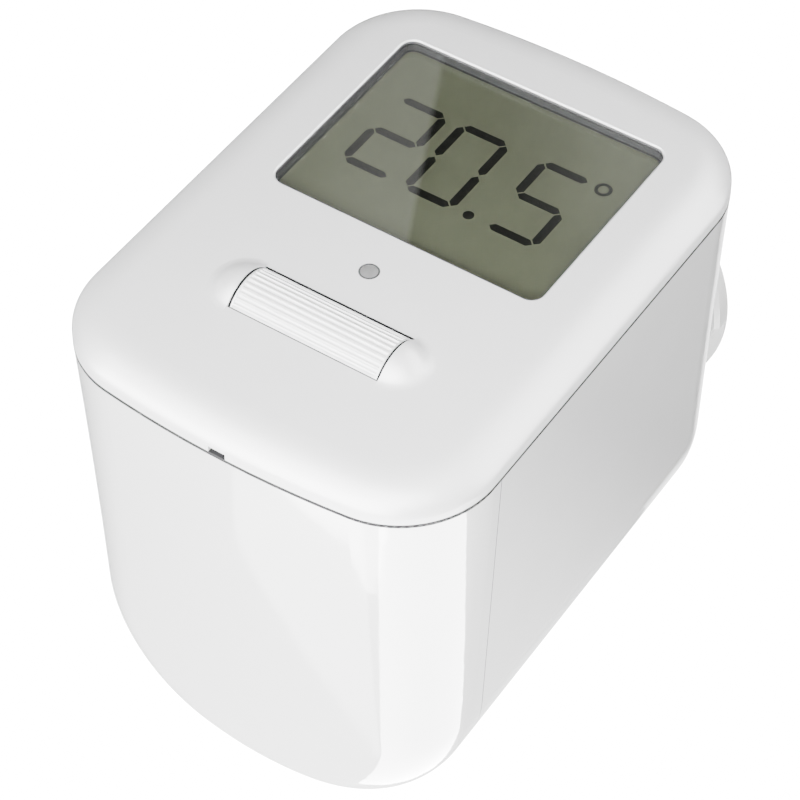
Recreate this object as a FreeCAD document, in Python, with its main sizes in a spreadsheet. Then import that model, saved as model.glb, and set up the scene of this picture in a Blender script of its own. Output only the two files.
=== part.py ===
import FreeCAD, Part
import math
import os
from types import SimpleNamespace

import Sketcher

# Electronic thermostatic radiator valve head.
# Frame: the valve axis is +Y through the origin, the origin is the mouth of the union nut, the display faces +Z.
# All sizes are in millimetres. A size is a driving dimension in the sheet or is worked out from one.

Vector = FreeCAD.Vector
UP = Vector(0, 0, 1)
ALONG_X = Vector(1, 0, 0)
ALONG_Y = Vector(0, 1, 0)

DRIVING = {
    "body_half": (28.67, "half width of the body at the parting plane"),
    "top": (39.8, "height of the flat top"),
    "parting": (35.65, "height of the plane where the top cover meets the body"),
    "front": (-90.0, "front face, at the middle of the parting plane"),
    "rear": (-11.0, "rear face, at the middle of the parting plane"),
    "front_bulge": (2.86, "how far the middle of the front stands out"),
    "rear_bulge": (2.57, "how far the middle of the rear stands out"),
    "front_slope": (0.041, "lean of the front face, mm per mm"),
    "rear_slope": (0.018, "lean of the rear face, mm per mm"),
    "side_slope": (0.0334, "lean of the side walls, mm per mm"),
    "corner": (13.0, "plan radius of the upright edges at the parting plane"),
    "corner_mid": (10.0, "the same edges where the side walls end"),
    "corner_low": (8.2, "edge radius round the underside"),
    "belly_height": (-8.6, "centre height of the underside's side arcs"),
    "belly_side": (22.8, "radius of the underside's side arcs"),
    "belly_turn": (79.6, "angle that each side arc turns before the bottom arc"),
    "wall": (2.0, "casing wall"),
    "parting_gap": (0.3, "shadow gap under the top cover"),
    "seam": (-74.5, "plane between the front cap and the main housing"),
    "seam_gap": (0.14, "gap at that plane"),
    "cover_edge": (0.94, "upright edge of the top cover"),
    "cover_round": (5.24, "width of the cover's rounded edge"),
    "cover_plate": (1.5, "thickness of the cover's top"),
    "lip_wall": (1.2, "thickness of the locating lips"),
    "lip_depth": (2.45, "how far the cover's lip reaches into the body"),
    "window_wide": (38.72, "window opening along X"),
    "window_deep": (31.12, "window opening along Y"),
    "window_mid": (-37.0, "window centre along Y"),
    "window_corner": (1.8, "corner radius of the window"),
    "pane_gap": (0.12, "gap round the window pane"),
    "pane_recess": (0.4, "how far the pane lies below the top"),
    "pane_thick": (1.05, "thickness of the pane"),
    "glass_half": (20.0, "half width of the display glasses"),
    "glass_front": (-56.0, "front edge of the upper display glass"),
    "glass_rear": (-20.5, "rear edge of both display glasses"),
    "glass_thick": (1.0, "thickness of each display glass"),
    "ledge": (3.0, "contact ledge of the upper glass"),
    "board_low": (25.8, "underside of the main board"),
    "board_thick": (1.2, "thickness of the main board"),
    "board_half": (24.3, "half width of the main board"),
    "board_front": (-80.0, "front edge of the main board"),
    "board_rear": (-18.0, "rear edge of the main board"),
    "board_corner": (9.0, "corner radius of the main board"),
    "boss_x": (23.4, "screw bosses along X"),
    "boss_front": (-60.0, "front pair of bosses along Y"),
    "boss_rear": (-28.0, "rear pair of bosses along Y"),
    "boss": (1.9, "boss radius"),
    "light_y": (-59.2, "status light along Y"),
    "light": (1.15, "radius of the light guide's face"),
    "wheel_y": (-69.37, "wheel axis along Y"),
    "wheel_z": (36.93, "wheel axis along Z"),
    "wheel": (4.7, "radius over the wheel's ribs"),
    "wheel_half": (10.4, "half length of the wheel"),
    "wheel_ribs": (38.0, "ribs round the wheel"),
    "groove": (0.3, "radius of the grooves between ribs"),
    "slot_half": (10.75, "half length of the wheel slot"),
    "slot_round": (4.9, "radius of the wheel slot"),
    "dome": (4.8, "radius of the domes beside the wheel"),
    "dome_hollow": (3.7, "radius inside the domes"),
    "dome_blend": (2.0, "fillet at the foot of a dome"),
    "axle": (1.0, "wheel axle radius"),
    "ear": (2.2, "radius of the carrier's ears"),
    "carrier_low": (30.0, "underside of the wheel carrier"),
    "carrier_thick": (1.2, "thickness of the wheel carrier"),
    "post_x": (15.6, "carrier guide posts along X"),
    "post": (1.2, "guide post radius"),
    "running": (0.05, "radial clearance of a running fit"),
    "cell_x": (7.9, "cell axes along X"),
    "cell_z": (-19.9, "cell axes along Z"),
    "cell": (7.25, "cell radius"),
    "cell_long": (50.5, "cell length over its nub"),
    "nub": (2.75, "radius of the cell's nub"),
    "nub_long": (1.3, "length of the nub"),
    "contact_y": (-31.0, "rear face of the rear battery contacts"),
    "sheet_metal": (0.4, "thickness of the battery contacts"),
    "spring_long": (2.5, "length of a fitted contact spring"),
    "tray_front": (-72.0, "front end of the battery tray"),
    "gear_module": (0.5, "gear module"),
    "pinion_teeth": (10.0, "motor pinion teeth"),
    "first_teeth": (36.0, "large teeth of the first gear"),
    "second_teeth": (40.0, "large teeth of the second gear"),
    "small_teeth": (12.0, "small teeth of both compound gears"),
    "output_teeth": (48.0, "output gear teeth"),
    "first_x": (4.0, "first gear axis along X"),
    "first_z": (12.0, "first gear axis along Z"),
    "second_x": (-9.0, "second gear axis along X"),
    "second_z": (12.0, "second gear axis along Z"),
    "motor_x": (13.2, "motor axis along X"),
    "motor_z": (5.1, "motor axis along Z"),
    "motor_wide": (15.1, "motor width over its flats"),
    "motor_high": (20.1, "motor height"),
    "motor_long": (25.0, "motor length"),
    "gearbox_rear": (-16.6, "rear face of the gearbox"),
    "gearbox_front": (-30.8, "front face of the gearbox lid"),
    "gearbox_wall": (1.3, "gearbox side wall"),
    "gearbox_plate": (1.8, "gearbox end plates"),
    "gear_room": (0.6, "clearance round the gears"),
    "gear_pin": (0.75, "radius of the gear axles"),
    "spindle": (2.5, "spindle radius"),
    "pin": (5.5, "push pin radius"),
    "collar": (11.0, "valve collar outer radius"),
    "collar_mouth": (9.0, "recess in the collar's end"),
    "nut_outer": (17.0, "union nut outer radius"),
    "nut_thread": (14.19, "union nut thread wall radius"),
    "nut_thread_long": (7.0, "union nut thread length"),
    "nut_front": (-10.5, "front face of the union nut"),
    "grip": (23.8, "grip collar radius"),
    "grip_rear": (-7.0, "rear rim of the grip collar"),
    "grip_long": (3.4, "length of the grip collar"),
    "grip_pads": (6.0, "pads round the grip collar"),
}


class Size:
    """A number together with the sheet formula that gives it."""

    def __init__(self, number, text=None):
        self.number = float(number)
        self.text = text or repr(self.number)

    def joined(self, other, sign, number):
        return Size(number, f"({self.text} {sign} {other.text})")

    def __add__(self, other):
        other = as_size(other)
        return self.joined(other, "+", self.number + other.number)

    def __sub__(self, other):
        other = as_size(other)
        return self.joined(other, "-", self.number - other.number)

    def __mul__(self, other):
        other = as_size(other)
        return self.joined(other, "*", self.number * other.number)

    def __truediv__(self, other):
        other = as_size(other)
        return self.joined(other, "/", self.number / other.number)

    def __neg__(self):
        return Size(-self.number, f"(0 - {self.text})")

    def __float__(self):
        return self.number

    __radd__ = __add__


def as_size(value):
    return value if isinstance(value, Size) else Size(value)


doc = FreeCAD.newDocument("valve_head")


def make_sheet():
    """Fills the sheet and returns its sizes by name."""
    sheet = doc.addObject("Spreadsheet::Sheet", "Sizes")
    sizes = SimpleNamespace()
    for row, (word, (number, meaning)) in enumerate(DRIVING.items(), start=1):
        sheet.set(f"A{row}", word)
        sheet.set(f"B{row}", str(number))
        sheet.setAlias(f"B{row}", word)
        sheet.set(f"C{row}", meaning)
        setattr(sizes, word, Size(number, "Sizes." + word))
    doc.recompute()
    return sizes


d = make_sheet()
nodes = []


# ---- helpers -------------------------------------------------------------------------------------------------

def keep(item, name):
    """Marks an object as one of the separate pieces."""
    item.Label = name
    nodes.append(item)
    return item


def bind(item, **formulas):
    for prop, size in formulas.items():
        item.setExpression(prop, as_size(size).text)


def put(item, x=0, y=0, z=0):
    for axis, size in zip("xyz", (x, y, z)):
        item.setExpression(f"Placement.Base.{axis}", as_size(size).text)


def block(name, x, y, z):
    """A box between a low and a high plane on each axis."""
    item = doc.addObject("Part::Box", name)
    spans = [as_size(high) - low for low, high in (x, y, z)]
    bind(item, Length=spans[0], Width=spans[1], Height=spans[2])
    put(item, x[0], y[0], z[0])
    return item


TURNS = {
    "x": FreeCAD.Rotation(ALONG_Y, 90),
    "y": FreeCAD.Rotation(ALONG_X, -90),
    "z": FreeCAD.Rotation(),
}


def rod(name, along, at, start, end, radius):
    """A cylinder along one axis; at gives its place on the other two axes, in X, Y, Z order."""
    item = doc.addObject("Part::Cylinder", name)
    bind(item, Radius=radius, Height=as_size(end) - start)
    item.Placement.Rotation = TURNS[along]
    place = list(at)
    place.insert("xyz".index(along), start)
    put(item, *place)
    return item


def fuse(name, items):
    item = doc.addObject("Part::MultiFuse", name)
    item.Shapes = items
    return item


def cut(name, base, tools):
    tool = tools[0] if len(tools) == 1 else fuse(name + "_tools", tools)
    item = doc.addObject("Part::Cut", name)
    item.Base = base
    item.Tool = tool
    return item


def common(name, items):
    item = doc.addObject("Part::MultiCommon", name)
    item.Shapes = items
    return item


def shaped(name, shape):
    item = doc.addObject("Part::Feature", name)
    item.Shape = shape
    item.Placement = shape.Placement
    return item


def new_body(name):
    return doc.addObject("PartDesign::Body", name)


def sketch_on(body, role, offset=0):
    """A sketch on one of the body's own origin planes, offset along the plane's normal."""
    count = len([item for item in body.Group if item.isDerivedFrom("Sketcher::SketchObject")])
    item = body.newObject("Sketcher::SketchObject", f"{body.Name}_sketch{count}")
    plane = next(part for part in body.Origin.OriginFeatures if part.Role == role)
    item.AttachmentSupport = (plane, [""])
    item.MapMode = "FlatFace"
    item.setExpression("AttachmentOffset.Base.z", as_size(offset).text)
    return item


def fix_point(item, geometry, point, x, y):
    """Ties a point of a sketch to the sheet with one distance on each axis."""
    for kind, size, axis in (("DistanceX", as_size(x), -2), ("DistanceY", as_size(y), -1)):
        if abs(size.number) < 1e-9:
            item.addConstraint(Sketcher.Constraint("PointOnObject", geometry, point, axis))
            continue
        if size.number > 0:
            index = item.addConstraint(Sketcher.Constraint(kind, -1, 1, geometry, point, size.number))
            item.setExpression(f"Constraints[{index}]", size.text)
        else:
            index = item.addConstraint(Sketcher.Constraint(kind, geometry, point, -1, 1, -size.number))
            item.setExpression(f"Constraints[{index}]", (-size).text)


def polygon(item, corners):
    """A closed outline of straight lines."""
    points = [Vector(float(as_size(x)), float(as_size(y)), 0) for x, y in corners]
    for index, point in enumerate(points):
        item.addGeometry(Part.LineSegment(point, points[(index + 1) % len(points)]))
    for index in range(len(points)):
        item.addConstraint(Sketcher.Constraint("Coincident", index, 2, (index + 1) % len(points), 1))
    for index, (x, y) in enumerate(corners):
        fix_point(item, index, 1, x, y)


def circle(item, x, y, radius):
    centre = Vector(float(as_size(x)), float(as_size(y)), 0)
    index = item.addGeometry(Part.Circle(centre, UP, float(as_size(radius))))
    constraint = item.addConstraint(Sketcher.Constraint("Radius", index, float(as_size(radius))))
    item.setExpression(f"Constraints[{constraint}]", as_size(radius).text)
    fix_point(item, index, 3, x, y)


def pad(body, profile, length, back=False):
    item = body.newObject("PartDesign::Pad", profile.Name + "_pad")
    item.Profile = profile
    bind(item, Length=length)
    item.Reversed = back
    return item


def pocket(body, profile, length, back=False):
    """Cuts a profile into a body and checks that it removed material."""
    doc.recompute()
    before = body.Shape.Volume
    item = body.newObject("PartDesign::Pocket", profile.Name + "_pocket")
    item.Profile = profile
    bind(item, Length=length)
    item.Reversed = back
    doc.recompute()
    if body.Shape.Volume >= before:
        raise RuntimeError(f"{item.Name} cuts nothing")
    return item


def turned(name, along, profile, x=0, z=0):
    """A round piece: a profile of (radius, place along the axis) turned about Y or Z, or (place, radius) about X."""
    body = new_body(name)
    outline = sketch_on(body, "XZ_Plane" if along == "z" else "XY_Plane")
    polygon(outline, profile)
    item = body.newObject("PartDesign::Revolution", name + "_turned")
    item.Profile = outline
    item.ReferenceAxis = (outline, ["H_Axis" if along == "x" else "V_Axis"])
    item.Angle = 360
    put(body, x, 0, z)
    return body


def at_points(name, points, make):
    """A group of like pieces in one node."""
    return fuse(name, [make(f"{name}_{index}", *point) for index, point in enumerate(points)])


# ---- casing shapes -------------------------------------------------------------------------------------------

HIGH = 60.0
LOW = -60.0
WIDE = 45.0


def u_section(inset, rim):
    """The body's U section at y = 0: leaning side walls, two side arcs and a shallow bottom arc."""
    lean = math.atan(float(d.side_slope))
    turn = math.radians(float(d.belly_turn))
    big = float(d.belly_side)
    half = float(d.body_half)
    slope = float(d.side_slope)
    wall_at_centre = half - slope * (float(d.parting) - float(d.belly_height))
    centre_x = wall_at_centre - big / math.cos(lean)
    centre = Vector(centre_x, 0, float(d.belly_height))
    bottom = big + centre_x / math.cos(turn)
    bottom_centre = Vector(0, 0, float(d.belly_height) + (bottom - big) * math.sin(turn))

    def on_arc(middle, radius, angle):
        return middle + Vector(radius * math.cos(angle), 0, -radius * math.sin(angle))

    radius = big - inset
    start = on_arc(centre, radius, lean)
    middle = on_arc(centre, radius, (lean + turn) / 2)
    end = on_arc(centre, radius, turn)
    lowest = bottom_centre - Vector(0, 0, bottom - inset)
    rim_point = Vector(start.x + slope * (rim - start.z), 0, rim)

    def mirrored(point):
        return Vector(-point.x, 0, point.z)

    edges = [
        Part.makeLine(mirrored(rim_point), rim_point),
        Part.makeLine(rim_point, start),
        Part.Arc(start, middle, end).toShape(),
        Part.Arc(end, lowest, mirrored(end)).toShape(),
        Part.Arc(mirrored(end), mirrored(middle), mirrored(start)).toShape(),
        Part.makeLine(mirrored(start), mirrored(rim_point)),
    ]
    return Part.Face(Part.Wire(edges))


def bulge_radius(bulge):
    half = float(d.body_half)
    return (half * half + bulge * bulge) / (2 * bulge)


def end_slab(middle, bulge, slope, inset, side):
    """Everything behind the bulged front face (side 1), or in front of the rear face (side -1)."""
    radius = bulge_radius(bulge) - inset
    edge = middle + side * inset
    sag = radius - math.sqrt(radius * radius - WIDE * WIDE)
    far = side * 150.0
    corners = [Vector(WIDE, edge + side * sag, 0), Vector(WIDE, far, 0), Vector(-WIDE, far, 0),
               Vector(-WIDE, edge + side * sag, 0)]
    lines = [Part.makeLine(start, end) for start, end in zip(corners, corners[1:])]
    face = Part.Face(Part.Wire([Part.Arc(corners[3], Vector(0, edge, 0), corners[0]).toShape()] + lines))
    lift = HIGH - float(d.parting)
    face.translate(Vector(0, -side * slope * lift, HIGH))
    return face.extrude(Vector(0, side * slope * (HIGH - LOW), LOW - HIGH))


def body_block(name, inset, rim):
    """The solid U-shaped block with its front and rear edges rounded; inset shrinks it on every side."""
    block_length = 200.0
    section = u_section(inset, rim)
    section.translate(Vector(0, -150, 0))
    raw = section.extrude(Vector(0, block_length, 0))
    raw = raw.common(end_slab(float(d.front), float(d.front_bulge), float(d.front_slope), inset, 1))
    raw = raw.common(end_slab(float(d.rear), float(d.rear_bulge), float(d.rear_slope), inset, -1))
    base = shaped(name + "_raw", raw)
    rounds = []
    for index, edge in enumerate(raw.Edges, start=1):
        middle = edge.CenterOfMass
        along_end = middle.y < -75 or middle.y > -22
        if not along_end or abs(middle.z - rim) < 0.5:
            continue
        ends = sorted((edge.valueAt(place) for place in edge.ParameterRange), key=lambda point: -point.z)
        if middle.x > 0:
            ends.reverse()
        rounds.append((index, edge_radius(ends[0], inset), edge_radius(ends[1], inset)))
    item = doc.addObject("Part::Fillet", name)
    item.Base = base
    item.Edges = rounds
    return item


def edge_radius(point, inset):
    """Radius of the rounded end edge at a height: largest at the parting plane, smallest underneath."""
    low = float(d.belly_height) - 0.9
    if point.z > low:
        part = (float(d.parting) - point.z) / (float(d.parting) - low)
        radius = float(d.corner) + (float(d.corner_mid) - float(d.corner)) * part
    else:
        radius = float(d.corner_mid) if abs(point.x) > 20 else float(d.corner_low)
    return radius - inset


def plan_wire(inset, z):
    """The top cover's outline: straight sides, bulged ends and rounded corners, shrunk by inset."""
    half = float(d.body_half) - inset
    corner = float(d.corner) - inset
    halves = []
    for middle, bulge, side in ((float(d.front), float(d.front_bulge), 1),
                                (float(d.rear), float(d.rear_bulge), -1)):
        radius = bulge_radius(bulge) - inset
        edge = middle + side * inset
        centre = edge + side * radius
        corner_x = half - corner
        corner_y = centre - side * math.sqrt((radius - corner) ** 2 - corner_x ** 2)
        toward = Vector(corner_x, corner_y - centre, 0).normalize()
        outer = Vector(corner_x, corner_y, 0) + toward * corner
        turn = (toward + ALONG_X).normalize()
        halves.append((Vector(half, corner_y, 0), Vector(corner_x, corner_y, 0) + turn * corner, outer,
                       Vector(0, edge, 0)))

    def flip(point):
        return Vector(-point.x, point.y, 0)

    (f_side, f_mid, f_end, f_edge), (r_side, r_mid, r_end, r_edge) = halves
    edges = [
        Part.makeLine(f_side, r_side),
        Part.Arc(r_side, r_mid, r_end).toShape(),
        Part.Arc(r_end, r_edge, flip(r_end)).toShape(),
        Part.Arc(flip(r_end), flip(r_mid), flip(r_side)).toShape(),
        Part.makeLine(flip(r_side), flip(f_side)),
        Part.Arc(flip(f_side), flip(f_mid), flip(f_end)).toShape(),
        Part.Arc(flip(f_end), f_edge, f_end).toShape(),
        Part.Arc(f_end, f_mid, f_side).toShape(),
    ]
    wire = Part.Wire(edges)
    wire.translate(Vector(0, 0, z))
    return wire


def plan_prism(inset, low, high):
    return Part.Face(plan_wire(inset, low)).extrude(Vector(0, 0, high - low))


def cover_block():
    """The outside of the top cover: an upright edge and an elliptical roundover up to the flat top."""
    low = float(d.parting)
    edge = low + float(d.cover_edge)
    rise = float(d.top) - edge
    steps = 8
    wires = []
    for step in range(steps + 1):
        angle = math.pi / 2 * step / steps
        wires.append(plan_wire(float(d.cover_round) * (1 - math.cos(angle)), edge + rise * math.sin(angle)))
    crown = Part.makeLoft(wires, True, False)
    return plan_prism(0, low, edge).fuse(crown)


def rounded_box(name, half_x, y_low, y_high, z_low, z_high, corner):
    """A block with rounded upright edges, padded from a sketch and filleted."""
    body = new_body(name)
    outline = sketch_on(body, "XY_Plane", z_low)
    polygon(outline, [(-half_x, y_low), (half_x, y_low), (half_x, y_high), (-half_x, y_high)])
    base = pad(body, outline, z_high - z_low)
    doc.recompute()
    upright = [f"Edge{index}" for index, edge in enumerate(base.Shape.Edges, start=1)
               if abs(edge.tangentAt(edge.FirstParameter).z) > 0.99]
    item = body.newObject("PartDesign::Fillet", name + "_corners")
    item.Base = (base, upright)
    bind(item, Radius=corner)
    return body


# ---- casing --------------------------------------------------------------------------------------------------

RIM = d.parting - d.parting_gap
PLATE_LOW = d.top - d.cover_plate
CAVITY_INSET = float(d.wall) + 0.2
EARS = ((-20.5, -7.0), (20.8, -3.0), (20.0, 19.5))
EAR_FRONT = -23.2
EAR_THICK = 1.8
FLANGE_REAR = d.gearbox_rear + 2.0


def make_casing():
    outer = body_block("body_outer", 0.0, float(RIM))
    inner = body_block("body_inner", float(d.wall), 50.0)
    shell = cut("body_shell", outer, [inner])
    half_gap = d.seam_gap / 2
    ahead = block("ahead_of_seam", (-WIDE, WIDE), (-120, d.seam - half_gap), (LOW, HIGH))
    behind = block("behind_seam", (-WIDE, WIDE), (d.seam + half_gap, 20), (LOW, HIGH))
    make_housing(common("rear_shell", [shell, behind]), outer)
    make_cap(common("front_shell", [shell, ahead]))


def make_housing(shell, outer):
    """The main housing: the U shell behind the seam, with screw posts inside its rear wall."""
    posts = [rod(f"post_{index}", "y", (x, z), EAR_FRONT + EAR_THICK, -12, 2.4)
             for index, (x, z) in enumerate(EARS)]
    posts.append(rod("collar_pad", "y", (0, 0), FLANGE_REAR, -12, 16.5))
    inside = common("posts_inside", [fuse("posts", posts), outer])
    holes = [rod(f"post_hole_{index}", "y", (x, z), EAR_FRONT, -14, 0.95) for index, (x, z) in enumerate(EARS)]
    holes.append(rod("neck_hole", "y", (0, 0), -20, 0, d.collar + 0.3))
    keep(cut("housing", fuse("housing_solid", [shell, inside]), holes), "main_housing")


def make_cap(shell):
    """The front cap: the U shell in front of the seam, with a locating tongue along each side wall."""
    tongue_inset = float(d.wall) + 0.2
    rim = 50.0
    outer = body_block("tongue_outer", tongue_inset, rim)
    inner = body_block("tongue_inner", tongue_inset + float(d.lip_wall), rim)
    ring = cut("tongue_ring", outer, [inner])
    reach = block("tongue_reach", (-WIDE, WIDE), (d.seam - 3, d.seam + 3), (-4, 30))
    root = block("tongue_root", (-WIDE, WIDE), (d.seam - 3, d.seam - 0.5), (-4, 30))
    web_outer = body_block("web_outer", float(d.wall) - 0.1, rim)
    web = common("tongue_web", [cut("web_ring", web_outer, [outer]), root])
    keep(fuse("cap", [shell, common("tongues", [ring, reach]), web]), "front_cap")


def make_top_cover():
    """The cover: a rounded plate with window, wheel slot, two hollow domes, lip, bosses and guide posts."""
    low, top = float(d.parting), float(d.top)
    wheel_y, wheel_z = float(d.wheel_y), float(d.wheel_z)
    slot = float(d.slot_half)
    solid = cover_block()
    for side in (1, -1):
        beyond = Part.makeBox(10, 20, 20, Vector(slot if side > 0 else -slot - 10, wheel_y - 10, low + 0.5))
        solid = solid.fuse(dome_solid(side * slot).common(beyond))
    solid = solid.removeSplitter()
    solid = solid.cut(plan_prism(CAVITY_INSET, low - 1, float(PLATE_LOW)))
    lip_inset = float(d.wall) + 0.3
    lip_low = low - float(d.lip_depth)
    ring = plan_prism(lip_inset, lip_low, float(PLATE_LOW) + 0.1)
    solid = solid.fuse(ring.cut(plan_prism(lip_inset + float(d.lip_wall), lip_low - 1, top)))
    front = Part.makeBox(12, 6, 4, Vector(-6, float(d.front), lip_low - 1))
    solid = solid.cut(front.common(plan_prism(float(d.wall), lip_low - 1, low)))
    solid = solid.cut(window_cutter())
    run = Part.makeCylinder(float(d.slot_round), 2 * slot, Vector(-slot, wheel_y, wheel_z), ALONG_X)
    hollow = Part.makeCylinder(float(d.dome_hollow), 2 * slot, Vector(-slot, wheel_y, wheel_z), ALONG_X)
    for side in (1, -1):
        hollow = hollow.fuse(Part.makeSphere(float(d.dome_hollow), Vector(side * slot, wheel_y, wheel_z)))
    solid = solid.cut(run.fuse(hollow))
    solid = solid.cut(Part.makeCylinder(float(d.light) + 0.1, 10, Vector(0, float(d.light_y), top - 5), UP))
    notch = Part.makeBox(2.4, 5, 0.9, Vector(-1.5, float(d.front) - 1, low))
    solid = solid.cut(notch)
    cover = shaped("cover_plate", solid)
    bosses = []
    bores = []
    board_top = d.board_low + d.board_thick
    for index, (x, y) in enumerate(boss_places()):
        bosses.append(rod(f"boss_{index}", "z", (x, y), board_top, PLATE_LOW + 0.3, d.boss))
        bores.append(rod(f"boss_bore_{index}", "z", (x, y), board_top - 1, board_top + 8, 0.75))
    for side in (1, -1):
        bosses.append(rod(f"guide_{side + 1}", "z", (d.post_x * side, d.wheel_y), board_top + 0.3,
                          PLATE_LOW + 0.3, d.post))
    keep(cut("cover", fuse("cover_solid", [cover] + bosses), bores), "top_cover")


def boss_places():
    return [(d.boss_x * side, y) for side in (1, -1) for y in (d.boss_front, d.boss_rear)]


def dome_solid(x):
    """A ball standing out of the flat top, with a hollow fillet round its foot."""
    ball, blend = float(d.dome), float(d.dome_blend)
    centre = float(d.wheel_z)
    top = float(d.top)
    rise = top + blend - centre
    reach = math.sqrt((ball + blend) ** 2 - rise ** 2)
    share = ball / (ball + blend)
    touch = Vector(reach * share, 0, centre + rise * share)
    halfway = Vector(reach, 0, top + blend) + (touch - Vector(reach, 0, top + blend)
                                               + Vector(0, 0, -blend)).normalize() * blend
    tilt = math.atan2(touch.z - centre, touch.x) / 2 + math.pi / 4
    crown = Vector(ball * math.cos(tilt), 0, centre + ball * math.sin(tilt))
    peak = Vector(0, 0, centre + ball)
    foot = top - 1
    face = Part.Face(Part.Wire([
        Part.makeLine(Vector(0, 0, foot), Vector(reach, 0, foot)),
        Part.makeLine(Vector(reach, 0, foot), Vector(reach, 0, top)),
        Part.Arc(Vector(reach, 0, top), halfway, touch).toShape(),
        Part.Arc(touch, crown, peak).toShape(),
        Part.makeLine(peak, Vector(0, 0, foot)),
    ]))
    solid = face.revolve(Vector(0, 0, 0), UP, 360)
    solid.translate(Vector(x, float(d.wheel_y), 0))
    return solid


def window_cutter():
    """The window opening with a thin bevel round its top edge."""
    half_x, half_y = float(d.window_wide) / 2, float(d.window_deep) / 2
    top = float(d.top)
    bevel = 0.25
    cutter = Part.makeBox(2 * half_x, 2 * half_y, 6, Vector(-half_x, float(d.window_mid) - half_y, top - 4))
    upright = [edge for edge in cutter.Edges if abs(edge.tangentAt(edge.FirstParameter).z) > 0.99]
    cutter = cutter.makeFillet(float(d.window_corner), upright)
    wide = Part.makeBox(2 * (half_x + bevel), 2 * (half_y + bevel), 4,
                        Vector(-half_x - bevel, float(d.window_mid) - half_y - bevel, top - bevel))
    upright = [edge for edge in wide.Edges if abs(edge.tangentAt(edge.FirstParameter).z) > 0.99]
    wide = wide.makeFillet(float(d.window_corner) + bevel, upright)
    foot = [edge for edge in wide.Edges if abs(edge.CenterOfMass.z - (top - bevel)) < 0.01]
    wide = wide.makeChamfer(bevel * 0.98, foot)
    return cutter.fuse(wide)


# ---- display -------------------------------------------------------------------------------------------------

def make_display():
    pane_top = d.top - d.pane_recess
    pane_low = pane_top - d.pane_thick
    half_x = d.window_wide / 2 - d.pane_gap
    half_y = d.window_deep / 2 - d.pane_gap
    pane = rounded_box("pane", half_x, d.window_mid - half_y, d.window_mid + half_y, pane_low, pane_top,
                       d.window_corner - d.pane_gap)
    keep(pane, "display_window")
    glass_top = PLATE_LOW - 0.1
    upper_low = glass_top - d.glass_thick
    across = (-d.glass_half, d.glass_half)
    keep(block("upper_glass", across, (d.glass_front, d.glass_rear), (upper_low, glass_top)), "lcd_front_glass")
    lower_top = upper_low - 0.05
    lower_low = lower_top - d.glass_thick
    lower = (d.glass_front + d.ledge, d.glass_rear)
    keep(block("lower_glass", across, lower, (lower_low, lower_top)), "lcd_rear_glass")
    mirror_top = lower_low - 0.02
    keep(block("reflector", across, lower, (mirror_top - 0.3, mirror_top)), "lcd_reflector")
    board_top = d.board_low + d.board_thick
    keep(block("zebra", (-18, 18), (d.glass_front + 0.3, d.glass_front + 2.3), (board_top, upper_low)),
         "contact_strip")
    make_lcd_frame(board_top, glass_top, mirror_top - 0.3)


def make_lcd_frame(low, high, shelf_top):
    """A frame round the display stack, with a shelf under the reflector."""
    room = 0.2
    side = 0.9
    half = d.glass_half + room
    front, rear = d.glass_front - room, d.glass_rear + room
    outer = block("frame_outer", (-half - side, half + side), (front - side, rear + side), (low + 0.1, high))
    inner = block("frame_inner", (-half, half), (front, rear), (low - 1, high + 1))
    shelf = block("frame_shelf", (-half, half), (front + 3.2, rear), (shelf_top - 1.2, shelf_top))
    opening = block("frame_opening", (-half + 2.5, half - 2.5), (front + 5.6, rear - 2.5),
                    (shelf_top - 3, shelf_top + 1))
    walls = cut("frame_walls", outer, [inner])
    keep(fuse("lcd_holder", [walls, cut("frame_ledge", shelf, [opening])]), "lcd_frame")


# ---- electronics ---------------------------------------------------------------------------------------------

def make_board():
    """The main board with its screw holes."""
    body = rounded_box("board", d.board_half, d.board_front, d.board_rear, d.board_low,
                       d.board_low + d.board_thick, d.board_corner)
    doc.recompute()
    holes = sketch_on(body, "XY_Plane", d.board_low + d.board_thick)
    for x, y in boss_places():
        circle(holes, x, y, 1.0)
    pocket(body, holes, d.board_thick + 1)
    keep(body, "main_board")


def make_screw(name, along, at, seat, length, thread, head, head_long):
    """A screw: a head in front of its seat and a shank behind it, with a hexagon socket in the head."""
    shank = rod(name + "_shank", along, at, seat - 0.2, seat + length, thread)
    cap = rod(name + "_head", along, at, seat - head_long, seat, head)
    socket = doc.addObject("Part::Prism", name + "_socket")
    socket.Polygon = 6
    socket.Circumradius = thread * 0.8
    socket.Height = head_long * 0.6
    socket.Placement.Rotation = TURNS[along]
    place = list(at)
    place.insert("xyz".index(along), seat - head_long - 0.01)
    put(socket, *place)
    return cut(name, fuse(name + "_solid", [shank, cap]), [socket])


def make_electronics():
    board_top = d.board_low + d.board_thick
    keep(block("processor", (-6, 6), (-44, -32), (board_top, board_top + 1.4)), "microcontroller")
    keep(block("radio", (-18, -2), (-79.2, -74.8), (board_top, board_top + 1.8)), "radio_module")
    keep(block("led", (-0.8, 0.8), (d.light_y - 0.6, d.light_y + 0.6), (board_top, board_top + 0.7)), "status_led")
    keep(block("hall", (7.8, 10.6), (d.wheel_y - 0.8, d.wheel_y + 0.8), (board_top, board_top + 1.1)),
         "hall_sensor")
    guide_low = board_top + 1.0
    keep(turned("light_pipe", "z", [
        (0, guide_low), (0.9, guide_low), (0.9, PLATE_LOW - 1.2), (2.0, PLATE_LOW - 1.2), (2.0, PLATE_LOW - 0.1),
        (d.light, PLATE_LOW - 0.1), (d.light, d.top - 0.12), (0, d.top - 0.05),
    ]), "light_guide")
    nodes[-1].Placement.Base.y = float(d.light_y)
    nodes[-1].setExpression("Placement.Base.y", d.light_y.text)
    keep(at_points("board_screw_set", boss_places(),
                   lambda name, x, y: make_screw(name, "z", (x, y), d.board_low, 7.0, 0.75, 1.7, 1.2)),
         "board_screws")


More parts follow.
